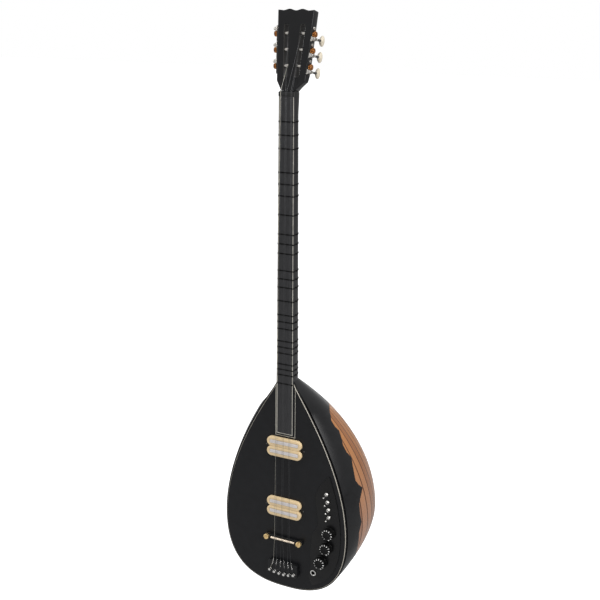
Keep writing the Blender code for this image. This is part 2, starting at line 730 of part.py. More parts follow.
def worm_mesh(steel):
    """A single-start worm between two journals, with a shaft back to its button."""
    bm = bmesh.new()
    turns = math.ceil(WORM_HALF_LENGTH / THREAD_LEAD) + 2
    quarter = WORM_SIDES / 4
    columns = []
    for i in range(WORM_SIDES + 1):
        column = []
        a = 2 * math.pi * i / WORM_SIDES
        for turn in range(-turns, turns):
            for share, raised in THREAD_PROFILE:
                radius, height = thread_point(turn + (i - quarter) / WORM_SIDES, share, raised)
                column.append(Vector((radius * math.cos(a), radius * math.sin(a), height)))
        columns.append([bm.verts.new(p) for p in column])
    for left, right in zip(columns, columns[1:]):
        for i in range(len(left) - 1):
            bm.faces.new((left[i], right[i], right[i + 1], left[i + 1]))
    bmesh.ops.remove_doubles(bm, verts=bm.verts, dist=1e-6)
    ends = (EAR_THICKNESS + 3 * GAP, BUTTON_START - WORM_HALF_LENGTH + BUTTON_SOCKET - GAP)
    for sign, length in zip((1, -1), ends):
        close_with_journal(bm, sign, length)
    return mesh_of("worm", bm, steel)


def close_with_journal(bm, sign, length):
    """Steps an open end of the worm down to its journal, and runs that on to a flat end."""
    rim = [e for e in bm.edges if e.is_boundary and e.verts[0].co.z * sign > 0]
    for radius, step in ((JOURNAL_RADIUS, 0), (JOURNAL_RADIUS, length)):
        new = bmesh.ops.extrude_edge_only(bm, edges=rim)["geom"]
        rim = [e for e in new if isinstance(e, bmesh.types.BMEdge) and e.is_boundary]
        for vert in {v for e in rim for v in e.verts}:
            scale = radius / vert.co.xy.length
            vert.co = Vector((vert.co.x * scale, vert.co.y * scale, vert.co.z + sign * step))
    bmesh.ops.contextual_create(bm, geom=rim)


def button_mesh(pearl):
    """An oval button with a blind hole for the worm's shaft."""
    hole = JOURNAL_RADIUS + SHAFT_CLEARANCE
    rings = turned(((hole, -BUTTON_START - BUTTON_SOCKET), (hole, -BUTTON_START)), WORM_SIDES)
    for step, half_x, half_y in BUTTON_PROFILE:
        ring = circle(1, -BUTTON_START - step, WORM_SIDES)
        rings.append([Vector((p.x * half_x, p.y * half_y, p.z)) for p in ring])
    return lofted("button", pearl, rings)


def make_tuner_plate(head, side, name, nickel):
    """A plate on the headstock's side, with ears that carry the worms and holes for the roller shafts."""
    middle = (TUNERS_PER_SIDE - 1) / 2
    frame = tuner_frame(side, ROLLER_FIRST + middle * ROLLER_PITCH)
    plate_out = GAP + TUNER_PLATE_THICKNESS
    half_length = middle * ROLLER_PITCH + TUNER_PLATE_END
    outline = rounded(TUNER_PLATE_HALF_WIDTH, half_length, TUNER_PLATE_HALF_WIDTH / 2)
    plate = add(name, lofted(name, nickel, moved(prism(outline, GAP, plate_out), OUTWARD)), head, frame)
    ears, holes = [], []
    ear_start = WORM_HALF_LENGTH + 2 * GAP
    ear_end = ear_start + EAR_THICKNESS
    bore = JOURNAL_RADIUS + SHAFT_CLEARANCE
    shaft = SHAFT_RADIUS + SHAFT_CLEARANCE
    for i in range(TUNERS_PER_SIDE):
        along = (i - middle) * ROLLER_PITCH
        worm = along - WORM_CENTRES
        for low, high in ((-ear_end, -ear_start), (ear_start, ear_end)):
            corner = (GEAR_MID + EAR_RIM, worm + EAR_RIM, high)
            ears.append(block((GAP + TUNER_PLATE_THICKNESS / 2, worm - EAR_FOOT, low), corner))
        hole = turned(((bore, -2 * ear_end), (bore, 2 * ear_end)), TURNED_SIDES)
        holes.append(moved(hole, Matrix.Translation((GEAR_MID, worm, 0))))
        hole = turned(((shaft, -plate_out), (shaft, 2 * plate_out)), TURNED_SIDES)
        holes.append(moved(hole, Matrix.Translation((0, along, 0)) @ OUTWARD))
    boolean(plate, "UNION", helper(name + "_ears", head, frame, *ears))
    boolean(plate, "DIFFERENCE", helper(name + "_holes", head, frame, *holes))


def make_tuners(head, headstock, finishes):
    """Three tuners each side, numbered from the nut up. Both sides take the same strip, turned half round."""
    worm = worm_mesh(finishes["steel"])
    button = button_mesh(finishes["pearl"])
    bores = []
    for side, word in ((-1, "left"), (1, "right")):
        make_tuner_plate(head, side, "tuner_plate_" + word, finishes["nickel"])
        for i in range(TUNERS_PER_SIDE):
            s = ROLLER_FIRST + i * ROLLER_PITCH
            reach = head_half(s) - ROLLER_SEAT
            number = f"{word}_{i + 1}"
            frame = tuner_frame(side, s)
            roller = roller_mesh("string_roller_" + number, reach, finishes["copper"])
            add("string_roller_" + number, roller, head, frame @ OUTWARD)
            worm_frame = frame @ Matrix.Translation((GEAR_MID, -WORM_CENTRES, 0))
            add("worm_" + number, worm, head, worm_frame)
            add("tuner_button_" + number, button, head, worm_frame)
            radius = ROLLER_RADIUS + SHAFT_CLEARANCE
            bore = turned(((radius, -reach - GAP), (radius, GEAR_MID)), TURNED_SIDES)
            bores.append(moved(bore, frame @ OUTWARD))
    boolean(headstock, "DIFFERENCE", helper("headstock_bores", head, Matrix(), *bores))


# Bridge, tailpiece and strings


def make_bridge(face, finishes):
    """Two screw posts carry a beam, and a rod lies on the beam under the strings."""
    foot_top = GAP + POST_FOOT_HEIGHT
    head_low = BEAM_TOP + GAP
    profile = (
        (POST_RADIUS, -POST_DEPTH), (POST_RADIUS, GAP), (POST_FOOT_RADIUS, GAP), (POST_FOOT_RADIUS, foot_top),
        (POST_RADIUS, foot_top), (POST_RADIUS, head_low), (POST_HEAD_RADIUS, head_low),
        (POST_HEAD_RADIUS, head_low + POST_HEAD_HEIGHT),
    )
    post = lofted("bridge_post", finishes["gold"], turned(profile, TURNED_SIDES))
    holes = []
    hole_radius = POST_RADIUS + SHAFT_CLEARANCE
    for side, word in ((-1, "left"), (1, "right")):
        place = Matrix.Translation((side * POST_FROM_CENTRE, V_BRIDGE, 0))
        add("bridge_post_" + word, post, face, place)
        hole = turned(((hole_radius, 0), (hole_radius, 2 * BEAM_TOP)), TURNED_SIDES)
        holes.append(moved(hole, place))
    half = POST_FROM_CENTRE + BEAM_PAST_POST
    outline = rounded(half, BEAM_HALF_WIDTH, BEAM_HALF_WIDTH / 2)
    beam_mesh = lofted("bridge_beam", finishes["painted"], prism(outline, BEAM_LOW, BEAM_TOP))
    beam = add("bridge_beam", beam_mesh, face, Matrix.Translation((0, V_BRIDGE, 0)))
    boolean(beam, "DIFFERENCE", helper("bridge_beam_holes", face, Matrix(), *holes))
    rod = turned(((ROD_RADIUS, -ROD_HALF_LENGTH), (ROD_RADIUS, ROD_HALF_LENGTH)), TURNED_SIDES)
    place = Matrix.Translation((0, V_BRIDGE, ROD_CENTRE)) @ Matrix.Rotation(math.pi / 2, 4, "Y")
    add("bridge_saddle_rod", lofted("bridge_saddle_rod", finishes["gold"], rod), face, place)


def pin_places():
    """The hitch pins, left to right, on a row that bows towards the tail."""
    places = []
    for i in range(STRING_COUNT):
        share = 2 * i / (STRING_COUNT - 1) - 1
        x = share * (STRING_COUNT - 1) / 2 * PIN_PITCH
        places.append(Vector((x, V_TAIL + PIN_FROM_TAIL - PIN_BOW * (1 - share * share))))
    return places


def make_tailpiece(face, black):
    """A block on the soundboard with its six pins pressed in, so they are one solid."""
    outline = rounded(TAILPIECE_HALF_WIDTH, TAILPIECE_LENGTH / 2, TAILPIECE_CORNER)
    place = Matrix.Translation((0, V_TAIL + TAILPIECE_FROM_TAIL + TAILPIECE_LENGTH / 2, 0))
    piece = add("tailpiece", lofted("tailpiece", black, prism(outline, GAP, TAILPIECE_TOP)), face, place)
    head_low = TAILPIECE_TOP + PIN_STEM
    head_high = head_low + PIN_HEAD_HEIGHT
    profile = ((PIN_RADIUS, TAILPIECE_TOP - PIN_ROOT), (PIN_RADIUS, head_low), (PIN_HEAD_RADIUS, head_low),
               (PIN_HEAD_RADIUS, head_high), (PIN_CROWN_RADIUS, head_high + PIN_CROWN_HEIGHT))
    pins = [moved(turned(profile, LEVER_SIDES), Matrix.Translation((p.x, p.y, 0))) for p in pin_places()]
    boolean(piece, "UNION", helper("tailpiece_pins", face, Matrix(), *pins))


def string_places(course, pair):
    """Three pairs of strings, left to right."""
    return [centre + side * pair / 2 for centre in (-course, 0, course) for side in (-1, 1)]


def make_strings(face, head, steel):
    """Each string runs from its pin over the tailpiece, the rod and the nut to the top of its roller."""
    at_nut = string_places(COURSE_AT_NUT, PAIR_AT_NUT)
    at_bridge = string_places(COURSE_AT_BRIDGE, PAIR_AT_BRIDGE)
    at_tail = [(i - (STRING_COUNT - 1) / 2) * TAIL_STRING_PITCH for i in range(STRING_COUNT)]
    tail_edge = V_TAIL + TAILPIECE_FROM_TAIL + TAILPIECE_LENGTH
    tuners = ((-1, 0), (-1, 1), (-1, 2), (1, 2), (1, 1), (1, 0))
    for i, (pin, (side, tuner)) in enumerate(zip(pin_places(), tuners)):
        roller = Vector((side * ROLLER_STRING_FROM_CENTRE[tuner], ROLLER_FIRST + tuner * ROLLER_PITCH,
                         ROLLER_RADIUS + STRING_LIFT - ROLLER_BEHIND))
        points = [
            Vector((pin.x, pin.y + PIN_RADIUS + STRING_LIFT, TAILPIECE_TOP + LOOP_RISE)),
            Vector((at_tail[i], tail_edge, TAILPIECE_TOP + STRING_LIFT)),
            Vector((at_bridge[i], V_BRIDGE, ROD_CENTRE + ROD_RADIUS + STRING_LIFT)),
            Vector((at_nut[i], HEAD_START, NUT_TOP + STRING_LIFT)),
            head.matrix_basis @ roller,
        ]
        curve = bpy.data.curves.new(f"string_{i + 1}", "CURVE")
        curve.dimensions = "3D"
        curve.bevel_depth = STRING_RADIUS
        curve.bevel_resolution = 1
        curve.use_fill_caps = True
        spline = curve.splines.new("POLY")
        spline.points.add(len(points) - 1)
        for slot, point in zip(spline.points, points):
            slot.co = (*point, 1)
        curve.materials.append(steel)
        add(f"string_{i + 1}", curve, face)


# Pickups


def pickup_places():
    return {"bridge": V_BRIDGE + BRIDGE_PICKUP_FROM_BRIDGE, "neck": V_BRIDGE + NECK_PICKUP_FROM_BRIDGE}


def pickup_outline(share):
    """Two round-ended bobbins side by side, notched where they meet, scaled about the middle."""
    notch = math.asin(BOBBIN_PITCH / 2 / BOBBIN_RADIUS)
    end = PICKUP_HALF_LENGTH - BOBBIN_RADIUS
    corner = []
    for i in range(PICKUP_ARC_STEPS + 1):
        a = -notch + (math.pi / 2 + notch) * i / PICKUP_ARC_STEPS
        corner.append((end + BOBBIN_RADIUS * math.cos(a), BOBBIN_PITCH / 2 + BOBBIN_RADIUS * math.sin(a)))
    upper = corner + [(-x, y) for x, y in reversed(corner)]
    lower = [(-x, -y) for x, y in upper[1:-1]]
    return [(x * share, y * share) for x, y in upper + lower]


def make_pickups(face, finishes):
    """A cover that rests on the soundboard, a narrower body through it, and two blades let into the top."""
    for word, v in pickup_places().items():
        place = Matrix.Translation((0, v, 0))
        top = GAP + PICKUP_HEIGHT
        under = prism(pickup_outline(PICKUP_BODY_SHARE), -PICKUP_BODY_DEPTH, GAP)
        rings = under + prism(pickup_outline(1), GAP, top)
        name = word + "_pickup"
        cover = add(name, lofted(name, finishes["cream"], rings), face, place)
        slots = []
        for side, which in ((-1, "lower"), (1, "upper")):
            middle = side * BOBBIN_PITCH / 2
            low = (-BLADE_HALF_LENGTH, middle - BLADE_HALF_WIDTH, top - BLADE_SEAT)
            high = (BLADE_HALF_LENGTH, middle + BLADE_HALF_WIDTH, top + BLADE_PROUD)
            slots.append(block([c - GAP for c in low], [c + GAP for c in high]))
            blade = lofted(f"{name}_blade", finishes["blade"], block(low, high))
            add(f"{name}_{which}_blade", blade, face, place)
        boolean(cover, "DIFFERENCE", helper(name + "_slots", face, place, *slots))


# Controls


def control_strip(ledge, end_margin, low, high):
    """A strip between the plate's outer and inner edges, narrowed by a ledge and shortened at both ends."""
    first = PLATE_INNER_EDGE[0][0] + end_margin
    last = PLATE_INNER_EDGE[-1][0] - end_margin
    rings = []
    for i in range(PLATE_STATIONS + 1):
        arc = first + (last - first) * i / PLATE_STATIONS
        outer = rim_point(arc, PLATE_RIM_INSET + ledge)
        inner = rim_point(arc, read_off(PLATE_INNER_EDGE, arc) - ledge)
        rings.append([Vector((*p, h)) for p, h in ((outer, low), (outer, high), (inner, high), (inner, low))])
    return rings


def control_places():
    """Knobs, switches and the jack, each at its place on the soundboard."""
    knobs = [rim_point(arc, KNOB_FIRST_INSET + i * KNOB_INSET_STEP) for i, arc in enumerate(KNOB_ARCS)]
    switches = []
    for i in range(SWITCH_COUNT):
        arc = SWITCH_FIRST_ARC + i * SWITCH_ARC_PITCH
        switches.append(rim_point(arc, SWITCH_FIRST_INSET + i * SWITCH_INSET_STEP))
    return knobs, switches, rim_point(JACK_ARC, JACK_INSET)


def make_control_plate(face, black):
    """A crescent plate over the opening in the soundboard, drilled for the controls."""
    strip = control_strip(0, 0, GAP, PLATE_TOP)
    plate = add("control_plate", lofted("control_plate", black, strip), face)
    knobs, switches, jack = control_places()
    drilled = [(p, POT_BUSH_RADIUS) for p in knobs] + [(p, SWITCH_BUSH_RADIUS) for p in switches]
    drilled.append((jack, JACK_BUSH_RADIUS))
    holes = []
    for place, radius in drilled:
        hole = turned(((radius + GAP, -PLATE_TOP), (radius + GAP, 2 * PLATE_TOP)), TURNED_SIDES)
        holes.append(moved(hole, Matrix.Translation((*place, 0))))
    boolean(plate, "DIFFERENCE", helper("control_plate_holes", face, Matrix(), *holes))


def pot_mesh(name, metal):
    """A control's can below the plate, with a bored bush and its nut above."""
    bore = SPINDLE_RADIUS + SHAFT_CLEARANCE
    top = PLATE_TOP + POT_BUSH_HEIGHT
    nut = PLATE_TOP + GAP
    profile = (
        (bore, -SPINDLE_DEPTH - CONTROL_FLOOR), (bore, top), (POT_BUSH_RADIUS, top),
        (POT_BUSH_RADIUS, nut + POT_NUT_HEIGHT), (POT_NUT_RADIUS, nut + POT_NUT_HEIGHT),
        (POT_NUT_RADIUS, nut), (POT_BUSH_RADIUS, nut), (POT_BUSH_RADIUS, -UNDER_PLATE),
        (POT_CAN_RADIUS, -UNDER_PLATE), (POT_CAN_RADIUS, -UNDER_PLATE - POT_CAN_DEPTH),
    )
    return lofted(name, metal, turned(profile, TURNED_SIDES))


def knob_mesh(name, black):
    """A bevelled knob on a thin skirt, hollow over the nut, with the spindle that it turns."""
    low = PLATE_TOP + KNOB_FLOAT
    recess = PLATE_TOP + POT_BUSH_HEIGHT + GAP
    profile = (
        (SPINDLE_RADIUS, -SPINDLE_DEPTH), (SPINDLE_RADIUS, recess), (KNOB_RECESS_RADIUS, recess),
        (KNOB_RECESS_RADIUS, low), (KNOB_SKIRT_RADIUS, low), (KNOB_SKIRT_RADIUS, low + KNOB_SKIRT_HEIGHT),
        (KNOB_BODY_RADIUS, low + KNOB_SKIRT_HEIGHT), (KNOB_BODY_RADIUS, low + KNOB_SHOULDER_HEIGHT),
        (KNOB_TOP_RADIUS, low + KNOB_HEIGHT),
    )
    return lofted(name, black, turned(profile, KNOB_SIDES))


def switch_mesh(name, metal):
    """A switch's box below the plate, with a bored bush and its nut above."""
    top = PLATE_TOP + SWITCH_BUSH_HEIGHT
    nut = PLATE_TOP + GAP
    bush, bore = SWITCH_BUSH_RADIUS, SWITCH_BORE_RADIUS
    rings = turned((
        (bore, PLATE_TOP), (bore, top), (bush, top), (bush, nut + SWITCH_NUT_HEIGHT),
        (SWITCH_NUT_RADIUS, nut + SWITCH_NUT_HEIGHT), (SWITCH_NUT_RADIUS, nut), (bush, nut),
        (bush, -UNDER_PLATE),
    ), TURNED_SIDES)
    for h in (-UNDER_PLATE, -UNDER_PLATE - SWITCH_BODY_DEPTH):
        rings.append(rectangle(*SWITCH_BODY_HALF, h, TURNED_SIDES))
    return lofted(name, metal, rings)


def jack_mesh(name, metal):
    """A socket with its ring nut above the plate and its sleeve below."""
    nut = PLATE_TOP + GAP
    top = nut + JACK_NUT_HEIGHT
    low = -UNDER_PLATE - JACK_SLEEVE_DEPTH
    profile = (
        (JACK_BORE_RADIUS, low + CONTROL_FLOOR), (JACK_BORE_RADIUS, top), (JACK_NUT_RADIUS, top),
        (JACK_NUT_RADIUS, nut), (JACK_BUSH_RADIUS, nut), (JACK_BUSH_RADIUS, -UNDER_PLATE),
        (JACK_SLEEVE_RADIUS, -UNDER_PLATE), (JACK_SLEEVE_RADIUS, low),
    )
    return lofted(name, metal, turned(profile, TURNED_SIDES))


def make_controls(face, finishes):
    """Three knobs on their pots, four switches with levers, and the output jack."""
    knobs, switches, jack = control_places()
    for i, place in enumerate(knobs):
        local = Matrix.Translation((*place, 0))
        add(f"pot_{i + 1}", pot_mesh(f"pot_{i + 1}", finishes["steel"]), face, local)
        add(f"knob_{i + 1}", knob_mesh(f"knob_{i + 1}", finishes["black"]), face, local)
    pivot = PLATE_TOP + SWITCH_BUSH_HEIGHT - LEVER_PIVOT_BELOW_TOP
    tilt = Matrix.Rotation(LEVER_THROW / 2, 4, "X")
    for i, place in enumerate(switches):
        name = f"switch_{i + 1}"
        body = switch_mesh(name + "_body", finishes["chrome"])
        add(name + "_body", body, face, Matrix.Translation((*place, 0)))
        lever = lofted(name + "_lever", finishes["chrome"], turned(LEVER_PROFILE, LEVER_SIDES))
        add(name + "_lever", lever, face, Matrix.Translation((*place, pivot)) @ tilt)
    add("output_jack", jack_mesh("output_jack", finishes["chrome"]), face, Matrix.Translation((*jack, 0)))


def main():
    clear_scene()
    finishes = {
        "lacquer": finish("black_lacquer", (0.012, 0.012, 0.013), 0.15, 0),
        "stave": finish("stave_wood", (0.42, 0.16, 0.06), 0.3, 0),
        "ebony": finish("fingerboard_wood", (0.045, 0.045, 0.048), 0.4, 0),
        "bone": finish("black_nut", (0.015, 0.015, 0.016), 0.4, 0),
        "binding": finish("cream_binding", (0.62, 0.58, 0.48), 0.4, 0),
        "black": finish("black_plastic", (0.012, 0.012, 0.013), 0.3, 0),
        "painted": finish("black_painted_metal", (0.012, 0.012, 0.013), 0.35, 0),
        "cream": finish("cream_bobbin", (0.80, 0.62, 0.36), 0.35, 0),
        "blade": finish("pickup_blade", (0.62, 0.58, 0.62), 0.3, 0.8),
        "gold": finish("gold_plate", (0.75, 0.46, 0.16), 0.25, 1),
        "copper": finish("copper_gear", (0.55, 0.24, 0.09), 0.3, 1),
        "nickel": finish("nickel_plate", (0.70, 0.68, 0.64), 0.25, 1),
        "chrome": finish("chrome", (0.78, 0.77, 0.75), 0.12, 1),
        "steel": finish("steel", (0.50, 0.49, 0.47), 0.3, 1),
        "pearl": finish("pearl_button", (0.80, 0.74, 0.62), 0.25, 0),
    }
    face = empty("face_frame", None, Matrix.Rotation(math.pi / 2, 4, "X"))
    tilt_back = Matrix.Rotation(-HEAD_TILT, 4, "X")
    head = empty("head_frame", face, Matrix.Translation((0, HEAD_START, -HEAD_SETBACK)) @ tilt_back)
    make_bowl(face, finishes["stave"])
    make_soundboard(face, finishes["lacquer"])
    make_binding(face, finishes["binding"])
    make_neck(face, finishes["lacquer"])
    make_fingerboard(face, finishes["ebony"])
    make_nut(face, finishes["bone"])
    headstock = make_headstock(head, finishes["lacquer"])
    make_tuners(head, headstock, finishes)
    make_bridge(face, finishes)
    make_tailpiece(face, finishes["painted"])
    make_pickups(face, finishes)
    make_control_plate(face, finishes["black"])
    make_controls(face, finishes)
    make_strings(face, head, finishes["steel"])


main()
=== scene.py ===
# %% [markdown]
# This lesson dresses an electric long-necked lute. The measured solids come from the frame, and each cell
# builds one visible piece over its solid, gives it a finish and lets it ride on the body that moves it.

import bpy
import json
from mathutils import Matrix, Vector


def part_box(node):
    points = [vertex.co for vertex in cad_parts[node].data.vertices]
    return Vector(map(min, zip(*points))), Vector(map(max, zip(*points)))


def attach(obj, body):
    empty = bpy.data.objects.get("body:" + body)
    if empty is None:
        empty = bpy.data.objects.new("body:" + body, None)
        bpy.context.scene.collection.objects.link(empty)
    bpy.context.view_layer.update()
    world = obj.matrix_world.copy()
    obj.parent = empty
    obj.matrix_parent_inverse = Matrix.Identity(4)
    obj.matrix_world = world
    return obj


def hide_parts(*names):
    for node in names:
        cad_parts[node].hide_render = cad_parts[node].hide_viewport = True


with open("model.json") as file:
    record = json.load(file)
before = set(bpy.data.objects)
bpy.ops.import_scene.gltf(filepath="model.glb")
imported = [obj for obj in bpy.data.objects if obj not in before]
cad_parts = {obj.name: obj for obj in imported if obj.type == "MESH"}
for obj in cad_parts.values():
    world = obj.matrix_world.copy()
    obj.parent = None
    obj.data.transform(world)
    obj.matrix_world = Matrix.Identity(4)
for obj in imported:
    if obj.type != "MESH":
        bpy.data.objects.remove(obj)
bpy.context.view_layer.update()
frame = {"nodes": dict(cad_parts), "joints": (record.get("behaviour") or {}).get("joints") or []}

# %% [markdown]
# A luthier measures from the nut: across the neck, down the strings and up from the soundboard. The same
# three directions are used here, and one matrix turns them into the upright position of the photo. The
# head leans back from the nut, so it has a matrix of its own.

# %% The instrument's own directions
import json
from bisect import bisect_left
from math import asin, atan2, copysign, cos, pi, radians, sin, sqrt, tan

import bmesh
import bpy
from mathutils import Matrix, Vector
from mathutils.geometry import tessellate_polygon

FACE = Matrix.Rotation(pi / 2, 4, "X")
HEAD_AT, HEAD_SINK, RAKE = 0.0046, 0.0093, radians(8.4)
HEAD = FACE @ Matrix.Translation((0, HEAD_AT, -HEAD_SINK)) @ Matrix.Rotation(-RAKE, 4, "X")
JOINTS = {joint["name"]: joint for joint in frame["joints"]}
print(len(JOINTS), "joints,", len(frame["nodes"]), "solids")

# %% [markdown]
# Most pieces are skins stretched over rings of points, like planks over a boat's ribs. This small
# workshop gathers rings into one mesh, closes the ends, turns every face outwards and hangs the piece on
# its body.


# %% A workshop for meshes
class Shape:
    """Points and faces of one piece, gathered from several skins."""

    def __init__(self, place=FACE):
        self.place = place
        self.points = []
        self.faces = []
        self.values = []

    def skin(self, rings, local=Matrix(), caps=True):
        """A closed skin over rings with equal numbers of points."""
        start, count = len(self.points), len(rings[0])
        for ring in rings:
            self.points += [self.place @ (local @ Vector(point)) for point in ring]
        for row in range(start, start + count * (len(rings) - 1), count):
            for i in range(count):
                j = (i + 1) % count
                self.faces.append((row + i, row + j, row + count + j, row + count + i))
        if caps:
            self.faces.append(tuple(range(start + count - 1, start - 1, -1)))
            self.faces.append(tuple(range(len(self.points) - count, len(self.points))))
        return self

    def plate(self, loops, low, high, edge=0.0, local=Matrix()):
        """A flat plate from its outline and any holes, with its upper corners rounded."""
        caps = ([], [])
        for number, loop in enumerate(loops):
            levels = [(0, low), (0, high - edge)]
            for turn in (30, 60, 90) if edge else ():
                a = radians(turn)
                levels.append((edge * (1 - cos(a)), high - edge * (1 - sin(a))))
            rings = []
            for inset, level in levels:
                ring = moved_in(loop, inset if number == 0 else -inset)
                rings.append([Vector((x, y, level)) for x, y in ring])
            start = len(self.points)
            self.skin(rings, local, caps=False)
            caps[0].append((rings[0], start))
            caps[1].append((rings[-1], len(self.points) - len(loop)))
        for cap in caps:
            index = [start + i for ring, start in cap for i in range(len(ring))]
            flat = tessellate_polygon([ring for ring, _ in cap])
            self.faces += [tuple(index[i] for i in face) for face in flat]
        return self

    def piece(self, name, nodes, slot, finish, body="lute", sharp=40):
        """One object in place of some solids. It rides on the fixed body, or on the one that moves it."""
        mesh = bpy.data.meshes.new(name)
        mesh.from_pydata(self.points, [], self.faces)
        if self.values:
            mesh.attributes.new("turn", "FLOAT", "POINT").data.foreach_set("value", self.values)
        bm = bmesh.new()
        bm.from_mesh(mesh)
        bmesh.ops.remove_doubles(bm, verts=bm.verts, dist=1e-6)
        bmesh.ops.recalc_face_normals(bm, faces=bm.faces)
        bm.to_mesh(mesh)
        bm.free()
        mesh.shade_smooth()
        mesh.set_sharp_from_angle(angle=radians(sharp))
        mesh.materials.append(finish)
        made = bpy.data.objects.new(name, mesh)
        bpy.context.scene.collection.objects.link(made)
        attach(made, body)
        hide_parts(*nodes)
        return made


def moved_in(loop, distance):
    """A loop moved inwards, whichever way round it runs."""
    area = sum(a[0] * b[1] - b[0] * a[1] for a, b in zip(loop, loop[1:] + loop[:1]))
    step = distance if area > 0 else -distance
    moved = []
    for i, (x, y) in enumerate(loop):
        before, after = Vector(loop[i - 1]), Vector(loop[(i + 1) % len(loop)])
        along = (after - before).normalized() * step
        moved.append((x - along.y, y + along.x))
    return moved


print("workshop ready")

# %% [markdown]
# Turned, rounded and bent forms come back all over the instrument: screws and pins are turned, plates
# have round corners, and wire is a round rod that follows a path.


# %% Rings, outlines and wire
def polar(radius, a, height=0.0):
    return Vector((radius * cos(a), radius * sin(a), height))


def ring(radius, height, sides=24):
    return [polar(radius, 2 * pi * i / sides, height) for i in range(sides)]


def arc_points(radius, first, last, steps, x=0.0, y=0.0):
    """Points of an arc between two angles in degrees."""
    turns = [radians(first + (last - first) * i / steps) for i in range(steps + 1)]
    return [(x + radius * cos(a), y + radius * sin(a)) for a in turns]


def turned(profile, sides=24):
    """Rings of a shape turned on a lathe, from (radius, height) pairs in millimetres."""
    return [ring(radius / 1000, height / 1000, sides) for radius, height in profile]


def rounded(half_x, half_y, corner, steps=6):
    """The outline of a rectangle with round corners."""
    x, y = half_x - corner, half_y - corner
    points = []
    for turn, middle in enumerate(((x, y), (-x, y), (-x, -y), (x, -y))):
        points += arc_points(corner, 90 * turn, 90 * turn + 90, steps, *middle)
    return points


def circle(x, y, radius, sides=24):
    return [(p.x + x, p.y + y) for p in ring(radius, 0, sides)]


def wire(path, radius, sides=8, closed=False):
    """Rings of a round rod along a path, twisted as little as possible."""
    rings, normal, last = [], None, len(path) - 1
    for i, point in enumerate(path):
        ahead = path[(i + 1) % len(path)] if closed else path[min(i + 1, last)]
        behind = path[i - 1] if closed else path[max(i - 1, 0)]
        along = (ahead - behind).normalized()
        normal = normal or along.orthogonal()
        normal = (normal - along * normal.dot(along)).normalized()
        across = along.cross(normal)
        flat = ring(radius, 0, sides)
        rings.append([point + p.x * normal + p.y * across for p in flat])
    return rings + rings[:1] if closed else rings


def cubic(p0, p1, p2, p3, steps=80):
    """Points along a cubic curve."""
    p0, p1, p2, p3 = (Vector(p) for p in (p0, p1, p2, p3))
    shares = [i / steps for i in range(steps + 1)]
    return [(1 - t)**3 * p0 + 3 * (1 - t)**2 * t * p1 + 3 * (1 - t) * t * t * p2 + t**3 * p3
            for t in shares]


def read(curve, v):
    """The curve's distance from the centre line, at a place down the strings."""
    i = min(max(bisect_left(curve, -v, key=lambda p: -p.y), 1), len(curve) - 1)
    a, b = curve[i - 1], curve[i]
    return a.x + (b.x - a.x) * (v - a.y) / (b.y - a.y)


print("a ring of", len(ring(1, 0)), "points")

# %% [markdown]
# Nothing that hands have made is one even colour. Each finish lets its tone and its gloss drift with a
# soft noise, and adds a very shallow bump, so that highlights break up as they do on lacquer, metal and
# plastic. Stretching the noise one way gives the look of brushing or of grain.


# %% Finishes
def add_node(tree, kind, **values):
    """A new shader node with some inputs set. An underscore stands for a space in an input's name."""
    node = tree.nodes.new("ShaderNode" + kind)
    for name, value in values.items():
        node.inputs[name.replace("_", " ")].default_value = value
    return node


def connect(tree, *cables):
    """Links between shader nodes, each from one node's output to another node's input."""
    for source, output, target, entry in cables:
        tree.links.new(source.outputs[output], target.inputs[entry])


def surface(name, color, rough, metal=0.0, drift=0.15, scale=350.0, stretch=(1, 1, 1), bump=0.05,
            shine=0.5):
    material = bpy.data.materials.new(name)
    material.use_nodes = True
    tree = material.node_tree
    shader = tree.nodes["Principled BSDF"]
    shader.inputs["Metallic"].default_value = metal
    shader.inputs["Specular IOR Level"].default_value = shine
    place = add_node(tree, "TexCoord")
    spread = add_node(tree, "Mapping", Scale=stretch)
    cloud = add_node(tree, "TexNoise", Scale=scale, Detail=6)
    tone = add_node(tree, "ValToRGB")
    for stop, share, at in zip(tone.color_ramp.elements, (1 - drift, 1 + drift), (0.3, 0.7)):
        stop.position = at
        stop.color = (*[min(channel * share, 1) for channel in color], 1)
    gloss = add_node(tree, "MapRange", To_Min=rough * 0.75, To_Max=min(rough * 1.3, 1))
    relief = add_node(tree, "Bump", Strength=bump, Distance=0.0005)
    connect(tree, (place, "Object", spread, "Vector"), (spread, "Vector", cloud, "Vector"),
            (cloud, "Fac", tone, "Fac"), (cloud, "Fac", gloss, "Value"), (cloud, "Fac", relief, "Height"),
            (tone, "Color", shader, "Base Color"), (gloss, "Result", shader, "Roughness"),
            (relief, "Normal", shader, "Normal"))
    return material


print("finishes can be mixed")

# %% [markdown]
# These are all the finishes of the instrument. The first numbers are the colour, then come the roughness
# and, for metals, how metallic it is. The black ones differ mostly in gloss.

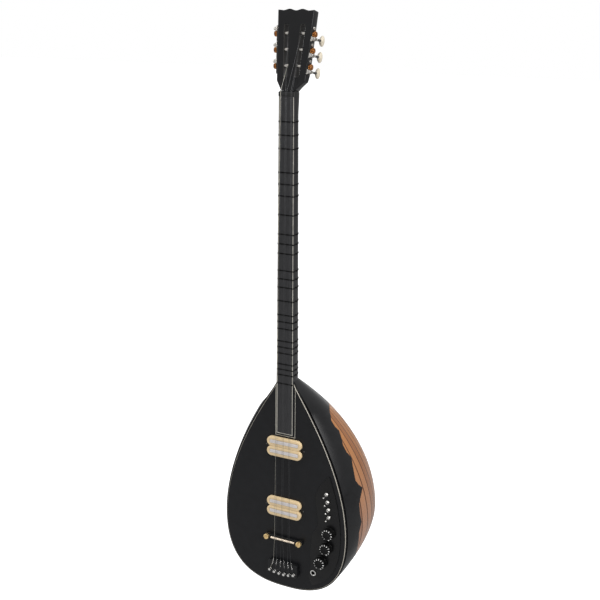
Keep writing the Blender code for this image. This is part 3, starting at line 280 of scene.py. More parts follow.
# %% The palette
LACQUER = surface("black_lacquer", (0.004, 0.0042, 0.0050), 0.13, scale=60, bump=0.015, shine=0.36)
BAND_LACQUER = surface("band_lacquer", (0.0055, 0.0057, 0.0066), 0.30, scale=60, bump=0.015, shine=0.30)
TOP_LACQUER = surface("top_lacquer", (0.0095, 0.0098, 0.0112), 0.34, scale=60, bump=0.015, shine=0.22)
EBONY = surface("charcoal_board", (0.022, 0.022, 0.024), 0.42, drift=0.4, stretch=(6, 6, 0.35), scale=220)
NUT_BLACK = surface("black_bone", (0.012, 0.012, 0.012), 0.35)
CREAM_LINE = surface("cream_strip", (0.46, 0.43, 0.37), 0.35)
PLASTIC = surface("moulded_black", (0.005, 0.005, 0.0055), 0.30, scale=900, shine=0.3)
KNOB_BLACK = surface("knob_black", (0.002, 0.002, 0.0022), 0.34, scale=900, shine=0.2)
PAINTED = surface("painted_black", (0.0095, 0.0098, 0.0110), 0.36, scale=700, bump=0.06, shine=0.25)
BOBBIN = surface("cream_bobbin", (0.80, 0.61, 0.36), 0.33, drift=0.06)
BLADE = surface("brushed_blade", (0.74, 0.70, 0.69), 0.34, 0.25, stretch=(0.15, 3, 3), scale=900, bump=0.12)
GOLD = surface("gold_plate", (0.95, 0.66, 0.32), 0.24, 0.8, scale=600)
PALE_GOLD = surface("pale_gold", (0.95, 0.77, 0.61), 0.30, 0.6, scale=600)
COPPER = surface("copper_gear", (0.44, 0.19, 0.06), 0.20, 1.0, scale=700)
NICKEL = surface("nickel_plate", (0.72, 0.69, 0.64), 0.22, 1.0, scale=500)
CHROME = surface("chrome", (0.80, 0.79, 0.77), 0.12, 1.0, drift=0.06)
STEEL = surface("bright_steel", (0.52, 0.51, 0.49), 0.28, 1.0, stretch=(1, 1, 0.2), scale=900)
MUSIC_WIRE = surface("music_wire", (0.12, 0.12, 0.125), 0.32, 1.0, scale=900)
BRONZE = surface("wound_bronze", (0.42, 0.40, 0.35), 0.30, 1.0, scale=2500, bump=0.2)
PEARL = surface("cream_pearl", (0.66, 0.59, 0.47), 0.20, drift=0.10, scale=260)
NYLON = surface("dark_nylon", (0.004, 0.004, 0.004), 0.45, shine=0.12)
STAIN = surface("black_stain", (0.034, 0.032, 0.030), 0.6, drift=0.5, stretch=(4, 4, 0.4), scale=300)
PALE_LINE = surface("pale_line", (0.74, 0.71, 0.62), 0.35, drift=0.2, scale=120)
WHITE = surface("white_filling", (0.85, 0.85, 0.83), 0.45, drift=0.05)
print(len(bpy.data.materials), "finishes")

# %% [markdown]
# The outline of the soundboard and the line of the back are two pairs of smooth curves that meet at the
# widest and the deepest place. A section of the bowl is square like the neck at the heel and soon becomes
# round.

# %% The body's curves
JOINT, BELLY, DEEPEST, TAIL = -0.544, -0.8536, -0.824, -0.9886
HALF, DEPTH, RIM = 0.1370, 0.222, 0.0033
NECK_HALF, NECK_DEEP = 0.0179, 0.031
SHOULDER = JOINT - BELLY
FLARE = (NECK_HALF + 0.028 * (HALF - NECK_HALF), JOINT - 0.061 * SHOULDER)
EDGE = cubic((NECK_HALF, JOINT), FLARE, (HALF, BELLY + 0.483 * SHOULDER), (HALF, BELLY))
ROUND_END = (HALF, BELLY - 0.995 * (BELLY - TAIL))
EDGE += cubic((HALF, BELLY), ROUND_END, (0.292 * HALF, TAIL), (0, TAIL))[1:]
SPAN = JOINT - DEEPEST
SWELL = (NECK_DEEP + 0.525 * (DEPTH - NECK_DEEP), JOINT - 0.246 * SPAN)
BACK = cubic((NECK_DEEP, JOINT), SWELL, (DEPTH, DEEPEST + 0.369 * SPAN), (DEPTH, DEEPEST))
DEEP_END = (DEPTH, DEEPEST - 0.52 * (DEEPEST - TAIL))
BACK += cubic((DEPTH, DEEPEST), DEEP_END, (0.134 * DEPTH, TAIL), (0, TAIL))[1:]
WALL, HEEL, END_BLOCK = 0.0035, 0.070, 0.035


def smooth_step(x):
    x = min(max(x, 0), 1)
    return x * x * (3 - 2 * x)


def neck_ring(half, depth, top, share):
    """A point of the neck's section, a share of the way round its back from right to left."""
    start = asin((top / depth) ** 1.5)
    a = start + (pi - 2 * start) * share
    x = half * copysign(abs(cos(a)) ** (2 / 3), cos(a))
    return Vector((x, -depth * abs(sin(a)) ** (2 / 3)))


def bowl_point(v, share):
    """A point of the bowl's outside."""
    half, depth = read(EDGE, v), read(BACK, v)
    radius = (depth * depth + half * half) / (2 * depth)
    centre = depth - radius
    start = asin((RIM - centre) / radius)
    a = start + (pi - 2 * start) * share
    arc = Vector((radius * cos(a), -centre - radius * sin(a)))
    p = neck_ring(half, depth, RIM, share).lerp(arc, smooth_step((JOINT - v) / HEEL))
    return Vector((p.x, v, p.y))


def inner_point(p, v):
    """The inside of the wall behind a point of the bowl's outside."""
    v = max(v, TAIL + END_BLOCK)
    inward = Vector((0, v, -0.4 * read(BACK, v))) - p
    return p + inward.normalized() * min(WALL, 0.3 * inward.length)


print("body, mm:", [round(1000 * size) for size in (JOINT - TAIL, 2 * HALF, DEPTH)])

# %% [markdown]
# A band of black lacquer is sprayed round the bowl against a cut-out edge, so its border runs in scallops
# and points. The border is a short list of depths below the soundboard. Because the band and the bare
# staves are separate skins that share that border, it stays sharp however close the camera comes. The
# band is made in two halves that meet in the middle plane, and faces that would lie in that plane, inside
# the heel, are taken out again.

# %% The black band on the bowl
BORDER = (
    (-0.6021, 0.1031), (-0.607, 0.0720), (-0.612, 0.0518), (-0.625, 0.0408), (-0.637, 0.0425),
    (-0.6465, 0.0491), (-0.659, 0.0461), (-0.6725, 0.0418), (-0.686, 0.0443), (-0.699, 0.0524),
    (-0.715, 0.0473), (-0.741, 0.0430), (-0.751, 0.0490), (-0.7613, 0.0598), (-0.772, 0.0500),
    (-0.7863, 0.0391), (-0.8087, 0.0381), (-0.8247, 0.0412), (-0.8453, 0.0333), (-0.8759, 0.0360),
    (-0.8917, 0.0387), (-0.906, 0.0498), (-0.924, 0.0800), (-0.9376, 0.1237),
)
BARE_TOP, BARE_END = BORDER[0][0], BORDER[-1][0]


def border_share(v):
    """How far round the section the band reaches, from the rim to the middle of the back."""
    if not BARE_END < v < BARE_TOP:
        return 0.5
    depth = read([Vector((d, at)) for at, d in BORDER], v)
    low, high = 0.0, 0.5
    for _ in range(24):
        middle = (low + high) / 2
        low, high = (middle, high) if -bowl_point(v, middle).z < depth else (low, middle)
    return low


def stations(top, end, count, extra=()):
    """Places down the body, closer together towards the tail, and the extra ones among them."""
    run = [top - (top - end) * sin(pi / 2 * i / count) for i in range(count + 1)]
    return sorted({round(v, 5) for v in run} | {v for v in extra if end < v < top}, reverse=True)


def shell_ring(v, first, last, count):
    """A section of the wall between two shares round the bowl: outside and back along the inside."""
    outer = [bowl_point(v, first + (last - first) * i / count) for i in range(count + 1)]
    return outer + [inner_point(p, v) for p in reversed(outer)]


corners = [v for v, _ in BORDER]
FINE = 0.0006
for step in range(1, 9):
    corners += [BARE_TOP - FINE * step, BARE_END + FINE * step * step / 4]
down = stations(JOINT, TAIL + 0.0012, 56, corners)
reaches = [(v, border_share(v)) for v in down]
band = Shape()
for side in (0, 1):
    band.skin([shell_ring(v, side, abs(side - share), 14) for v, share in reaches])


def on_middle(face):
    """Whether a face lies in the middle plane, where the two halves of the band meet."""
    return all(abs(band.points[i].x) < 1e-6 for i in face)


band.faces = [face for face in band.faces if not on_middle(face)]
band.piece("bowl_band", ["bowl"], "black_lacquer", BAND_LACQUER)
print("band made from", len(down), "sections")

# %% [markdown]
# The bare part of the bowl is a skin between the two borders. Each of its points also keeps a value: how
# far round the section it lies. The wood in the next cell counts the staves with it.

# %% Skin of the staves
COLUMNS = 60
bare = Shape()
rows = [(v, share) for v, share in reaches if BARE_END <= v <= BARE_TOP]
for v, share in rows:
    outside = [share + (1 - 2 * share) * i / COLUMNS for i in range(COLUMNS + 1)]
    bare.values += outside + outside[::-1]
bare.skin([shell_ring(v, share, 1 - share, COLUMNS) for v, share in rows])
print(len(rows), "rows of bare wood")

# %% [markdown]
# The staves are thin ribs of wood, bent over a mould and glued edge to edge with a dark strip in each
# joint. Every stave is cut from another board, so each has its own tone. The shader counts the staves
# from the stored value and stretches the grain along them. Towards the tail, lower down, it turns the
# colour paler and pinker: a painted sheen, the light that the lower bowl reflects.

# %% Wood of the staves
STAVES = 29
# The tail tones are the wood's colour with a painted sheen, paler and pinker than the neck tones.
TAIL_TONES_WITH_SHEEN = ((0.20, 0.105, 0.071, 1), (0.35, 0.200, 0.142, 1))
NECK_TONES = ((0.21, 0.074, 0.022, 1), (0.45, 0.195, 0.066, 1))
GLUE = (0.075, 0.028, 0.012, 1)


def stave_wood():
    material = surface("stave_wood", (0.50, 0.20, 0.075), 0.24, scale=140, bump=0.03, shine=0.4)
    tree = material.node_tree
    turn, place, split, along, chance = (add_node(tree, kind) for kind in (
        "Attribute", "TexCoord", "SeparateXYZ", "CombineXYZ", "TexWhiteNoise"))
    turn.attribute_name = "turn"
    chance.noise_dimensions = "1D"
    count, whole, wave = (add_node(tree, "Math") for _ in range(3))
    count.operation, whole.operation, wave.operation = "MULTIPLY", "FLOOR", "PINGPONG"
    count.inputs[1].default_value = STAVES
    wave.inputs[1].default_value = 0.5
    line = add_node(tree, "MapRange", From_Min=0.045, From_Max=0.110)
    fibre = add_node(tree, "TexNoise", Scale=9, Detail=8, Distortion=0.6)
    # Painted sheen: lower down, towards the tail, the wood blends into the paler, pinker tail tones.
    height = add_node(tree, "MapRange", From_Min=-0.90, From_Max=-0.68)
    tail, neck = add_node(tree, "ValToRGB"), add_node(tree, "ValToRGB")
    for ramp, tones in ((tail, TAIL_TONES_WITH_SHEEN), (neck, NECK_TONES)):
        for stop, tone in zip(ramp.color_ramp.elements, tones):
            stop.color = tone
    mood, body, glue = (add_node(tree, "Mix") for _ in range(3))
    mood.data_type, body.data_type, glue.data_type = "FLOAT", "RGBA", "RGBA"
    mood.inputs["Factor"].default_value = 0.55
    glue.inputs[6].default_value = GLUE
    connect(tree, (turn, "Fac", count, 0), (count, 0, whole, 0), (whole, 0, chance, "W"),
            (count, 0, wave, 0), (wave, 0, line, "Value"), (place, "Object", split, 0),
            (split, "Z", height, "Value"), (split, "Z", along, "Y"), (count, 0, along, "X"),
            (whole, 0, along, "Z"), (along, 0, fibre, "Vector"), (fibre, "Fac", mood, 2),
            (chance, "Value", mood, 3), (mood, 0, tail, "Fac"), (mood, 0, neck, "Fac"),
            (height, "Result", body, "Factor"), (tail, "Color", body, 6), (neck, "Color", body, 7),
            (line, "Result", glue, "Factor"), (body, 2, glue, 7),
            (glue, 2, tree.nodes["Principled BSDF"], "Base Color"))
    return material


bare.piece("bowl_staves", ["bowl"], "stave_wood", stave_wood())
print(STAVES, "staves, bare from", BARE_TOP, "to", BARE_END)

# %% [markdown]
# The soundboard is a flat plate under black lacquer, sawn out for the two pickups, the controls and the
# bridge posts. A cream strip is let in round its edge and planed to a slope, with a thin black one below
# its outside.


# %% Soundboard and binding
def edge_loop(inset):
    """The body's outline, moved inwards."""
    right = []
    for i, p in enumerate(EDGE):
        along = (EDGE[min(i + 1, len(EDGE) - 1)] - EDGE[max(i - 1, 0)]).normalized()
        along = Vector((-1, 0)) if i == len(EDGE) - 1 else along
        right.append((p.x + inset * along.y, p.y - inset * along.x))
    return right + [(-x, y) for x, y in reversed(right[:-1])]


BOBBIN_AT = 0.0101


def pickup_loop(share):
    """The outline round a pair of bobbins, at a share of its size."""
    points = []
    for middle, turn in ((BOBBIN_AT, 0), (BOBBIN_AT, 1), (-BOBBIN_AT, 2), (-BOBBIN_AT, 3)):
        for i in range(13):
            a = pi / 2 * (turn + i / 12)
            x = copysign(0.0278, cos(a + 1e-9)) + 0.0102 * cos(a)
            points.append((x * share, (middle + 0.0102 * sin(a)) * share))
    return points


PICKUPS = {"neck": -0.6832, "bridge": -0.8115}
BRIDGE, POST_AT, POST_BORE = -0.880, 0.0366, 0.0034
BOARD = -0.003
KNOBS = [Vector(JOINTS[f"knob_turn_{i}"]["pos_m"]) for i in (1, 2, 3)]
holes = [[(x, y + v) for x, y in pickup_loop(0.92)] for v in PICKUPS.values()]
holes += [circle(side * POST_AT, BRIDGE, POST_BORE) for side in (-1, 1)]
holes += [circle(knob.x, knob.z, 0.0098) for knob in KNOBS]
Shape().plate([edge_loop(0.0030), *holes], BOARD, 0).piece(
    "soundboard_plate", ["soundboard"], "black_lacquer", TOP_LACQUER)
corner = [(0, BOARD), (0, -0.0014), (0.0003, -0.00115), (0.0019, -0.00115), (0.0019, BOARD)]
inlay = [(0.0019, BOARD), (0.0019, -0.0012), (0.0026, 0.00004), (0.0029, 0), (0.0029, BOARD)]
for name, profile, finish, slot in (("edge", corner, LACQUER, "black_lacquer"),
                                    ("strip", inlay, CREAM_LINE, "cream_binding")):
    loops = [[(*p, level) for p in edge_loop(inset)] for inset, level in profile]
    binding = Shape().skin(list(zip(*loops)))
    binding.piece("binding_" + name, ["soundboard_binding"], slot, finish)
print(len(holes), "holes in the soundboard")

# %% [markdown]
# The neck is one long U-shaped stick in the same lacquer, a little thicker behind the nut. Its end is cut
# at the head's angle, and a tenon at the other end goes into the bowl.

# %% Neck
NUT_HALF, NUT_DEEP = 0.0159, 0.0245
VOLUTE, VOLUTE_LENGTH = 0.0045, 0.042
TENON_STEP, TENON_LENGTH, TENON_TOP, GAP = 0.0043, 0.030, 0.0036, 0.0003


def neck_half(v):
    return NUT_HALF + (NECK_HALF - NUT_HALF) * v / JOINT


def neck_depth(v):
    volute = VOLUTE * smooth_step(1 + v / VOLUTE_LENGTH)
    return NUT_DEEP + (NECK_DEEP - NUT_DEEP) * v / JOINT + volute


def neck_section(v, half, depth, top=0.0, steps=40):
    around = [neck_ring(half, depth, top, i / steps) for i in range(steps + 1)]
    return [Vector((p.x, v, p.y)) for p in around]


rings = [[Vector((p.x, p.y + (p.z + HEAD_SINK) * tan(RAKE), p.z))
          for p in neck_section(HEAD_AT, neck_half(0), neck_depth(0))]]
places = [-VOLUTE_LENGTH * i / 7 for i in range(1, 8)]
places += [(JOINT + GAP) * i / 24 for i in range(2, 25)]
for v in places:
    rings.append(neck_section(v, neck_half(v), neck_depth(v)))
for v in (JOINT + GAP, JOINT - TENON_LENGTH):
    rings.append(neck_section(v, NECK_HALF - TENON_STEP, NECK_DEEP - TENON_STEP, TENON_TOP))
Shape().skin(rings).piece("neck_stick", ["neck"], "black_lacquer", LACQUER)
print("neck from", round(2000 * neck_half(0), 1), "to", round(2000 * neck_half(JOINT), 1), "mm wide")

# %% [markdown]
# The fingerboard is a charcoal strip with a fine cream line let in along both edges and across its end. A
# wider frame of the same line goes round it on the soundboard. Both are thin U-shaped inlays, a hair
# above the wood.

# %% Fingerboard and its lines
START, END, TOP = -0.0042, -0.655, 0.0033
LINE_WIDTH, END_MARGIN, SUNK, PROUD = 0.0009, 0.0013, -0.0002, 0.00006
FRAME_HALF, FRAME_TOP, FRAME_END, FRAME_WIDTH = 0.0218, -0.5555, -0.6594, 0.0007


def u_line(half, top, end, width):
    """A U-shaped line that follows both edges of a tapered board and crosses its end."""
    outer = [(-half(top), top), (-half(end), end), (half(end), end), (half(top), top)]
    inner = [(half(top) - width, top), (half(end) - width, end + width),
             (-half(end) + width, end + width), (-half(top) + width, top)]
    return outer + inner


board = [(-neck_half(0), START), (-neck_half(END), END), (neck_half(END), END), (neck_half(0), START)]
wood = Shape().plate([board], GAP, TOP)
wood.piece("fingerboard_wood", ["fingerboard"], "fingerboard_wood", EBONY)
inner = u_line(lambda v: neck_half(v) - LINE_WIDTH, START - GAP, END + END_MARGIN, LINE_WIDTH)
lines = Shape().plate([inner], TOP + SUNK, TOP + PROUD)
lines.plate([u_line(lambda v: FRAME_HALF, FRAME_TOP, FRAME_END, FRAME_WIDTH)], SUNK, PROUD)
lines.piece("fingerboard_lines", ["fingerboard"], "cream_binding", PALE_LINE)
print("fingerboard", round(-1000 * END), "mm long")

# %% [markdown]
# The frets are tied: three turns of nylon line round the whole neck, pulled tight and knotted at the
# side, so a player can slide them to another scale. The last one lies where the bowl begins, so it is a
# bar that is glued across the board. Each turn is a wire round the neck's section, and the knot is a
# short coil across the turns.

# %% Tied frets
RATIOS = (
    18 / 17, 12 / 11, 9 / 8, 81 / 68, 27 / 22, 81 / 64, 4 / 3, 24 / 17, 16 / 11, 3 / 2, 27 / 17, 18 / 11,
    27 / 16, 16 / 9, 32 / 17, 64 / 33, 2, 36 / 17, 24 / 11, 9 / 4, 81 / 34, 27 / 11, 81 / 32, 8 / 3,
)
LINE = 0.00038
ties = Shape()
for number, ratio in enumerate(RATIOS):
    middle = BRIDGE * (1 - 1 / ratio)
    half, depth = neck_half(middle) + LINE, neck_depth(middle) + LINE
    over = [Vector((half - 0.0001, 0, TOP - 0.0002)), Vector((half - 0.0006, 0, TOP + LINE)),
            Vector((0, 0, TOP + LINE))]
    over += [Vector((-p.x, 0, p.z)) for p in over[1::-1]]
    tied = number < len(RATIOS) - 1
    under = neck_section(0, half, depth, 0, 22) if tied else [Vector((half, 0, 0.0006))]
    path = over + under[::-1] if tied else under + over + [Vector((-half, 0, 0.0006))]
    for turn in (-1, 0, 1):
        v = middle + 2 * LINE * turn
        ties.skin(wire([p + Vector((0, v, 0)) for p in path], LINE, 6, tied), caps=not tied)
    if tied:
        coil = []
        for i in range(25):
            a = 2 * pi * 2.5 * i / 24
            x = half + 0.0004 + 0.0006 * cos(a)
            coil.append(Vector((x, middle + 0.0013 * sin(a), -0.007 - 0.0001 * i)))
        ties.skin(wire(coil, LINE, 6))
ties.piece("fret_ties", ["fingerboard"], "black_nut", NYLON)
print(len(RATIOS), "frets, the octave at", BRIDGE / 2)

# %% [markdown]
# The nut is a small black bar with a rounded top. Six shallow grooves hold the strings apart, so its top
# is sampled finely along its length and dips at each string.

# %% Nut
NUT_TOP, NUT_FRONT = 0.0043, 0.0040


def in_pairs(step, half_gap):
    """Places across the neck of six strings in three pairs."""
    return [course * step + side * half_gap for course in (-1, 0, 1) for side in (-1, 1)]


AT_NUT = in_pairs(0.0103, 0.0011)


def nut_section(x):
    dip = max(0.0004 - 0.6 * min(abs(x - string) for string in AT_NUT), 0)
    top = NUT_TOP - dip
    profile = [(-0.0039, GAP), (0.0043, GAP), (0.0043, top - 0.0006), (NUT_FRONT, top - 0.0001),
               (0.0033, top), (-0.0026, top - 0.0001), (-0.0036, top - 0.0003), (-0.0039, top - 0.0007)]
    return [(x, v, h) for v, h in profile]


rings = [nut_section(-NUT_HALF + 2 * NUT_HALF * i / 159) for i in range(160)]
Shape().skin(rings).piece("nut_bar", ["nut"], "black_nut", NUT_BLACK)
print("grooves at, mm:", [round(1000 * x, 1) for x in AT_NUT])

# %% [markdown]
# The head grows out of the neck, flares, and leans back. It is a skin over rings with softened edges,
# with a waved top.

# %% Headstock
HEAD_LENGTH, FLARE_AT, SOFT, BUMP = 0.1439, 0.0180, 0.0012, 0.013
HEAD_START, HEAD_MIDDLE, HEAD_TOP = 0.0136, 0.0288, 0.0364
HEAD_RISE, HEAD_DEEP, SETTLED, CROWN = 0.0094, 0.0197, 0.036, 0.012


def head_half(s):
    if s < FLARE_AT:
        return HEAD_START + (HEAD_MIDDLE - HEAD_START) * s / FLARE_AT
    return HEAD_MIDDLE + (HEAD_TOP - HEAD_MIDDLE) * (s - FLARE_AT) / (HEAD_LENGTH - FLARE_AT)


def crown_wave(x):
    """Height of the waved top: two bumps, and corners that stay lower than the bumps."""
    wave = 0.0014 * cos(pi * (min(abs(x), 2 * BUMP) - BUMP) / BUMP)
    return wave + 0.0010 * smooth_step((abs(x) - 2 * BUMP) / (HEAD_TOP - 2 * BUMP))


def head_ring(s, shrink=0.0):
    half = head_half(s)
    steps = [half - SOFT * e for e in (0, 0.07, 0.3, 0.65, 1)]
    xs = [-x for x in steps] + [(half - SOFT) * (2 * i / 20 - 1) for i in range(1, 20)] + steps[::-1]
    settle = smooth_step(s / SETTLED)
    front = HEAD_RISE * max(0, 1 - s / FLARE_AT)
    depth = front + HEAD_DEEP - 0.0007 * settle
    lift = smooth_step((s - HEAD_LENGTH + CROWN) / CROWN)
    fronts, backs = [], []
    for x in xs:
        inside = max(SOFT - (half - abs(x)), 0)
        drop = SOFT - sqrt(SOFT * SOFT - inside * inside) + shrink
        round_back = 0.8 * (1 - settle)
        curve = (1 - min(abs(x) / half, 1) ** 3) ** (1 / 3)
        v = s + lift * crown_wave(x)
        fronts.append((x, v, front - drop))
        back = front - depth * (1 - round_back + round_back * curve)
        backs.append((x, v - lift * SOFT, back + drop * settle))
    return fronts + backs[::-1]


heights = [0.0003, 0.004, 0.008, 0.012, 0.0150, 0.0180, 0.022, 0.026, 0.031, 0.036, 0.080, 0.130, 0.134,
           0.138, 0.1410]
rings = [head_ring(s) for s in heights]
for turn in (0, 30, 60, 90):
    a = radians(turn)
    rings.append(head_ring(HEAD_LENGTH - SOFT + SOFT * sin(a), SOFT * (1 - cos(a))))
head = Shape(HEAD).skin(rings).piece("headstock_body", ["headstock"], "black_lacquer", LACQUER)
print("head of", len(rings), "rings")

# %% [markdown]
# Two long slots and six cross holes are cut out of the head with a Boolean, as a router and a drill
# would. The cut faces take the cutter's own finish, a dull black stain, because lacquer does not reach
# into them. Each tuner gets its own directions from its two joints, and they place the holes here and the
# metal later.

# %% Slots and holes of the head
SLOT, SLOT_MIDDLE, SLOT_INSET, BORE = (0.0051, 0.0468, 0.0025), 0.072, 0.01795, 3.8
cut = Shape(HEAD)
for side in (-1, 1):
    slot_loop = []
    for x, y in rounded(*SLOT):
        s = SLOT_MIDDLE + y
        slot_loop.append((side * (head_half(s) - SLOT_INSET) + x, s))
    cut.plate([slot_loop], -0.04, 0.03)
drill = Shape(Matrix())
TUNERS = [f"{side}_{i}" for side in ("left", "right") for i in (1, 2, 3)]


def tuner_frame(key):
    """A tuner's own directions: X out of the head's side, Z out of its face."""
    roller, worm = JOINTS["roller_turn_" + key], JOINTS["key_turn_" + key]
    out, up = Vector(roller["axis"]), Vector(worm["axis"])
    local = Matrix((out, up.cross(out), up)).transposed().to_4x4()
    local.translation = roller["pos_m"]
    return local


OUTWARD = Matrix.Rotation(pi / 2, 4, "Y")
for key in TUNERS:
    reach = abs(JOINTS["roller_turn_" + key]["pos_m"][0]) * 1000 - 2.7
    drill.skin(turned(((BORE, -reach), (BORE, 5)), 32), tuner_frame(key) @ OUTWARD)


def evaluated_mesh(made):
    """A new mesh of an object as its modifiers or its lettering make it."""
    return bpy.data.meshes.new_from_object(made.evaluated_get(bpy.context.evaluated_depsgraph_get()))


def carve(piece, *tools):
    """Cuts helper shapes out of a piece and throws the helpers away."""
    for tool in tools:
        cutter = tool.piece("cutter", [], "black_lacquer", STAIN)
        modifier = piece.modifiers.new("cut", "BOOLEAN")
        modifier.object, modifier.material_mode = cutter, "TRANSFER"
        bpy.context.view_layer.update()
        mesh = evaluated_mesh(piece)
        piece.modifiers.clear()
        piece.data = mesh
        bpy.data.objects.remove(cutter)
    piece.data.set_sharp_from_angle(angle=radians(40))


carve(head, cut, drill)
print("headstock with", len(head.data.polygons), "faces")

# %% [markdown]
# Each side of the head carries a black strip with pairs of nickel ears. A worm turns between the ears,
# and three small slotted screws hold the strip. The strip is a plate with holes for the rollers, and each
# ear is a rounded tab.


# %% Tuner strips
def screw(shape, local, radius, height=0.0007):
    """A domed screw head with a slot across it, made of two half domes."""
    wide, high = radius * 1000, height * 1000
    shape.skin(turned(((wide, 0), (wide, 0.4 * high), (0.9 * wide, 0.55 * high)), 20), local)
    for side in (-1, 1):
        outline = [(x, side * y) for x, y in arc_points(radius * 0.9, 12, 168, 12)]
        shape.plate([outline], height * 0.5, height, height * 0.35, local)


PITCH, WORM_DROP, WORM_OUT = 0.0288, 0.0081, 0.0053
STRIP, STRIP_TOP, SCREWS_AT = (0.0058, 0.0433, 0.0029), 0.0018, (-0.0185, 0.0103, 0.0388)
EARS_AT, EAR_THICK = (-0.0062, 0.0042), 0.0020
for side in ("left", "right"):
    middle = tuner_frame(side + "_2")
    strip, ears, screws = Shape(middle), Shape(middle), Shape(middle)
    holes = [circle(0, y, 0.0025) for y in (-PITCH, 0, PITCH)]
    strip.plate([rounded(*STRIP), *holes], GAP, STRIP_TOP, 0.0004, OUTWARD)
    for y in (-PITCH, 0, PITCH):
        worm_at = y - WORM_DROP
        tab = [(0.0012, worm_at + 0.0042), (0.0012, worm_at - 0.0054)]
        tab += arc_points(0.0030, -100, 100, 20, WORM_OUT, worm_at)
        for low in EARS_AT:
            ears.plate([tab, circle(WORM_OUT, worm_at, 0.0016)], low, low + EAR_THICK, 0.0003)
    for y in SCREWS_AT:
        screw(screws, Matrix.Translation((STRIP_TOP, y, 0)) @ OUTWARD, 0.0028, 0.0022)
    plate = ["tuner_plate_" + side]
    strip.piece("tuner_strip_" + side, plate, "black_painted_metal", PAINTED)
    ears.piece("tuner_ears_" + side, plate, "nickel_plate", NICKEL)
    screws.piece("tuner_strip_screws_" + side, plate, "nickel_plate", NICKEL)
print("two strips with", 3 * 2, "ears each")

# %% [markdown]
# A tuner is a worm drive. Turning the button turns the worm, whose thread pushes a copper gear round by
# one of its fourteen teeth per turn, and the gear's shaft is the roller that winds the string. The thread
# is a ridge that climbs as it goes round, so its height grows with the angle.

# %% Teeth and thread
TEETH = 14
LEAD = 2 * pi * 0.00498 / TEETH


def gear_ring(height, scale=1.0):
    points = []
    for i in range(TEETH):
        for step, radius in ((-0.85, 4.37), (-0.15, 5.42), (0.15, 5.42), (0.85, 4.37)):
            a = 2 * pi * (i + step / 2) / TEETH - pi / 2
            points.append(polar(radius * scale / 1000, a, height))
    return points


def worm_rings(steps=112, sides=36, half=0.0036):
    """Rings across the worm: the thread's crest moves round from one ring to the next."""
    rings = []
    for i in range(steps + 1):
        z = half * (2 * i / steps - 1)
        fade = smooth_step((half - abs(z)) / 0.0006)
        points = []
        for j in range(sides):
            share = (z / LEAD - j / sides + 0.25) % 1
            crest = smooth_step((0.21 - abs(share - 0.5)) / 0.13)
            points.append(polar(0.00195 + 0.00105 * crest * fade, 2 * pi * j / sides, z))
        rings.append(points)
    return rings


print("the thread climbs", round(1000 * LEAD, 2), "mm in a turn")

# %% [markdown]
# All six tuners are built by one loop, from profiles in millimetres. The button is an oval that swells
# and closes again. A dark collar joins it to the rod of the worm, and a small screw holds it on.

# %% Rollers, gears, worms and buttons
BARREL_END = ((3.5, -0.4), (3.2, 0), (2.2, 0), (2.2, 4.1))
COG = ((0.0040, 0.96), (0.0043, 1), (0.0063, 1), (0.0066, 0.96))
WASHER = ((4.7, 2.15), (5.0, 2.4), (5.0, 4.1))
BOSS = ((4.0, 6.5), (4.0, 7.2), (5.0, 7.2), (5.0, 7.8), (4.7, 8.1), (3.9, 8.2), (3.5, 7.6), (2.4, 7.6))
COLLAR = ((1.3, -13.5), (2.2, -13.8), (2.2, -20.6), (2.6, -20.8), (2.6, -22))
BUTTON = (
    (0, 2.8, 2.8), (0.5, 3.1, 3.1), (2.2, 3.4, 3.7), (3.0, 3.8, 5.6), (4.2, 4.1, 7.8), (6.2, 4.3, 9.3),
    (8.2, 4.25, 9.85), (9.6, 4.05, 9.8), (11.2, 3.7, 9.1), (12.5, 3.1, 7.9), (13.4, 2.4, 6.3),
    (13.9, 1.6, 4.4),
)
for key in TUNERS:
    local = tuner_frame(key)
    turn = local @ OUTWARD
    reach = abs(local.translation.x) * 1000 - 3
    roller = Shape(turn).skin(turned(((3.2, -reach), (3.5, 0.4 - reach), *BARREL_END), 28))
    roller.piece("roller_" + key, ["string_roller_" + key], "nickel_plate", NICKEL, "roller_" + key)
    gear = Shape(turn).skin([gear_ring(height, scale) for height, scale in COG])
    gear.skin(turned(WASHER, 28))
    gear.skin(turned(BOSS, 28))
    screw(gear, Matrix.Translation((0, 0, 0.0075)), 0.0022, 0.0007)
    gear.piece("gear_" + key, ["string_roller_" + key], "copper_gear", COPPER, "roller_" + key)
    axle = Matrix.Translation(JOINTS["key_turn_" + key]["pos_m"]) @ local.to_3x3().to_4x4()
    worm = Shape(axle).skin(worm_rings())
    worm.skin(turned(((1.3, 3.5), (1.3, 6.3), (1.0, 6.5)), 20))
    worm.skin(turned(((1.3, -3.5), (1.3, -14)), 20))
    worm.piece("worm_" + key + "_steel", ["worm_" + key], "steel", STEEL, "key_" + key)
    collar = Shape(axle).skin(turned(COLLAR, 20))
    collar.piece("button_collar_" + key, ["worm_" + key], "steel", MUSIC_WIRE, "key_" + key)
    oval = []
    for step, half_x, half_y in BUTTON:
        z = -0.022 - step / 1000
        oval.append([(p.x * half_x, p.y * half_y, z) for p in ring(0.001, 0, 36)])
    button = Shape(axle).skin(oval)
    button.piece("button_" + key, ["tuner_button_" + key], "pearl_button", PEARL, "key_" + key, 60)
    cap = Shape(axle)
    screw(cap, Matrix.Translation((0, 0, -0.0357)) @ Matrix.Rotation(pi, 4, "X"), 0.0015, 0.0006)
    cap.piece("button_screw_" + key, ["tuner_button_" + key], "steel", STEEL, "key_" + key)
print("tuners:", TUNERS)

# %% [markdown]
# The bridge is a black beam on two gold screw posts, with a ridged gold rod lying on it under the
# strings. Each post ends in a slotted head, so a screwdriver can lift that side. The rod's ridges run
# round it like a rope's.

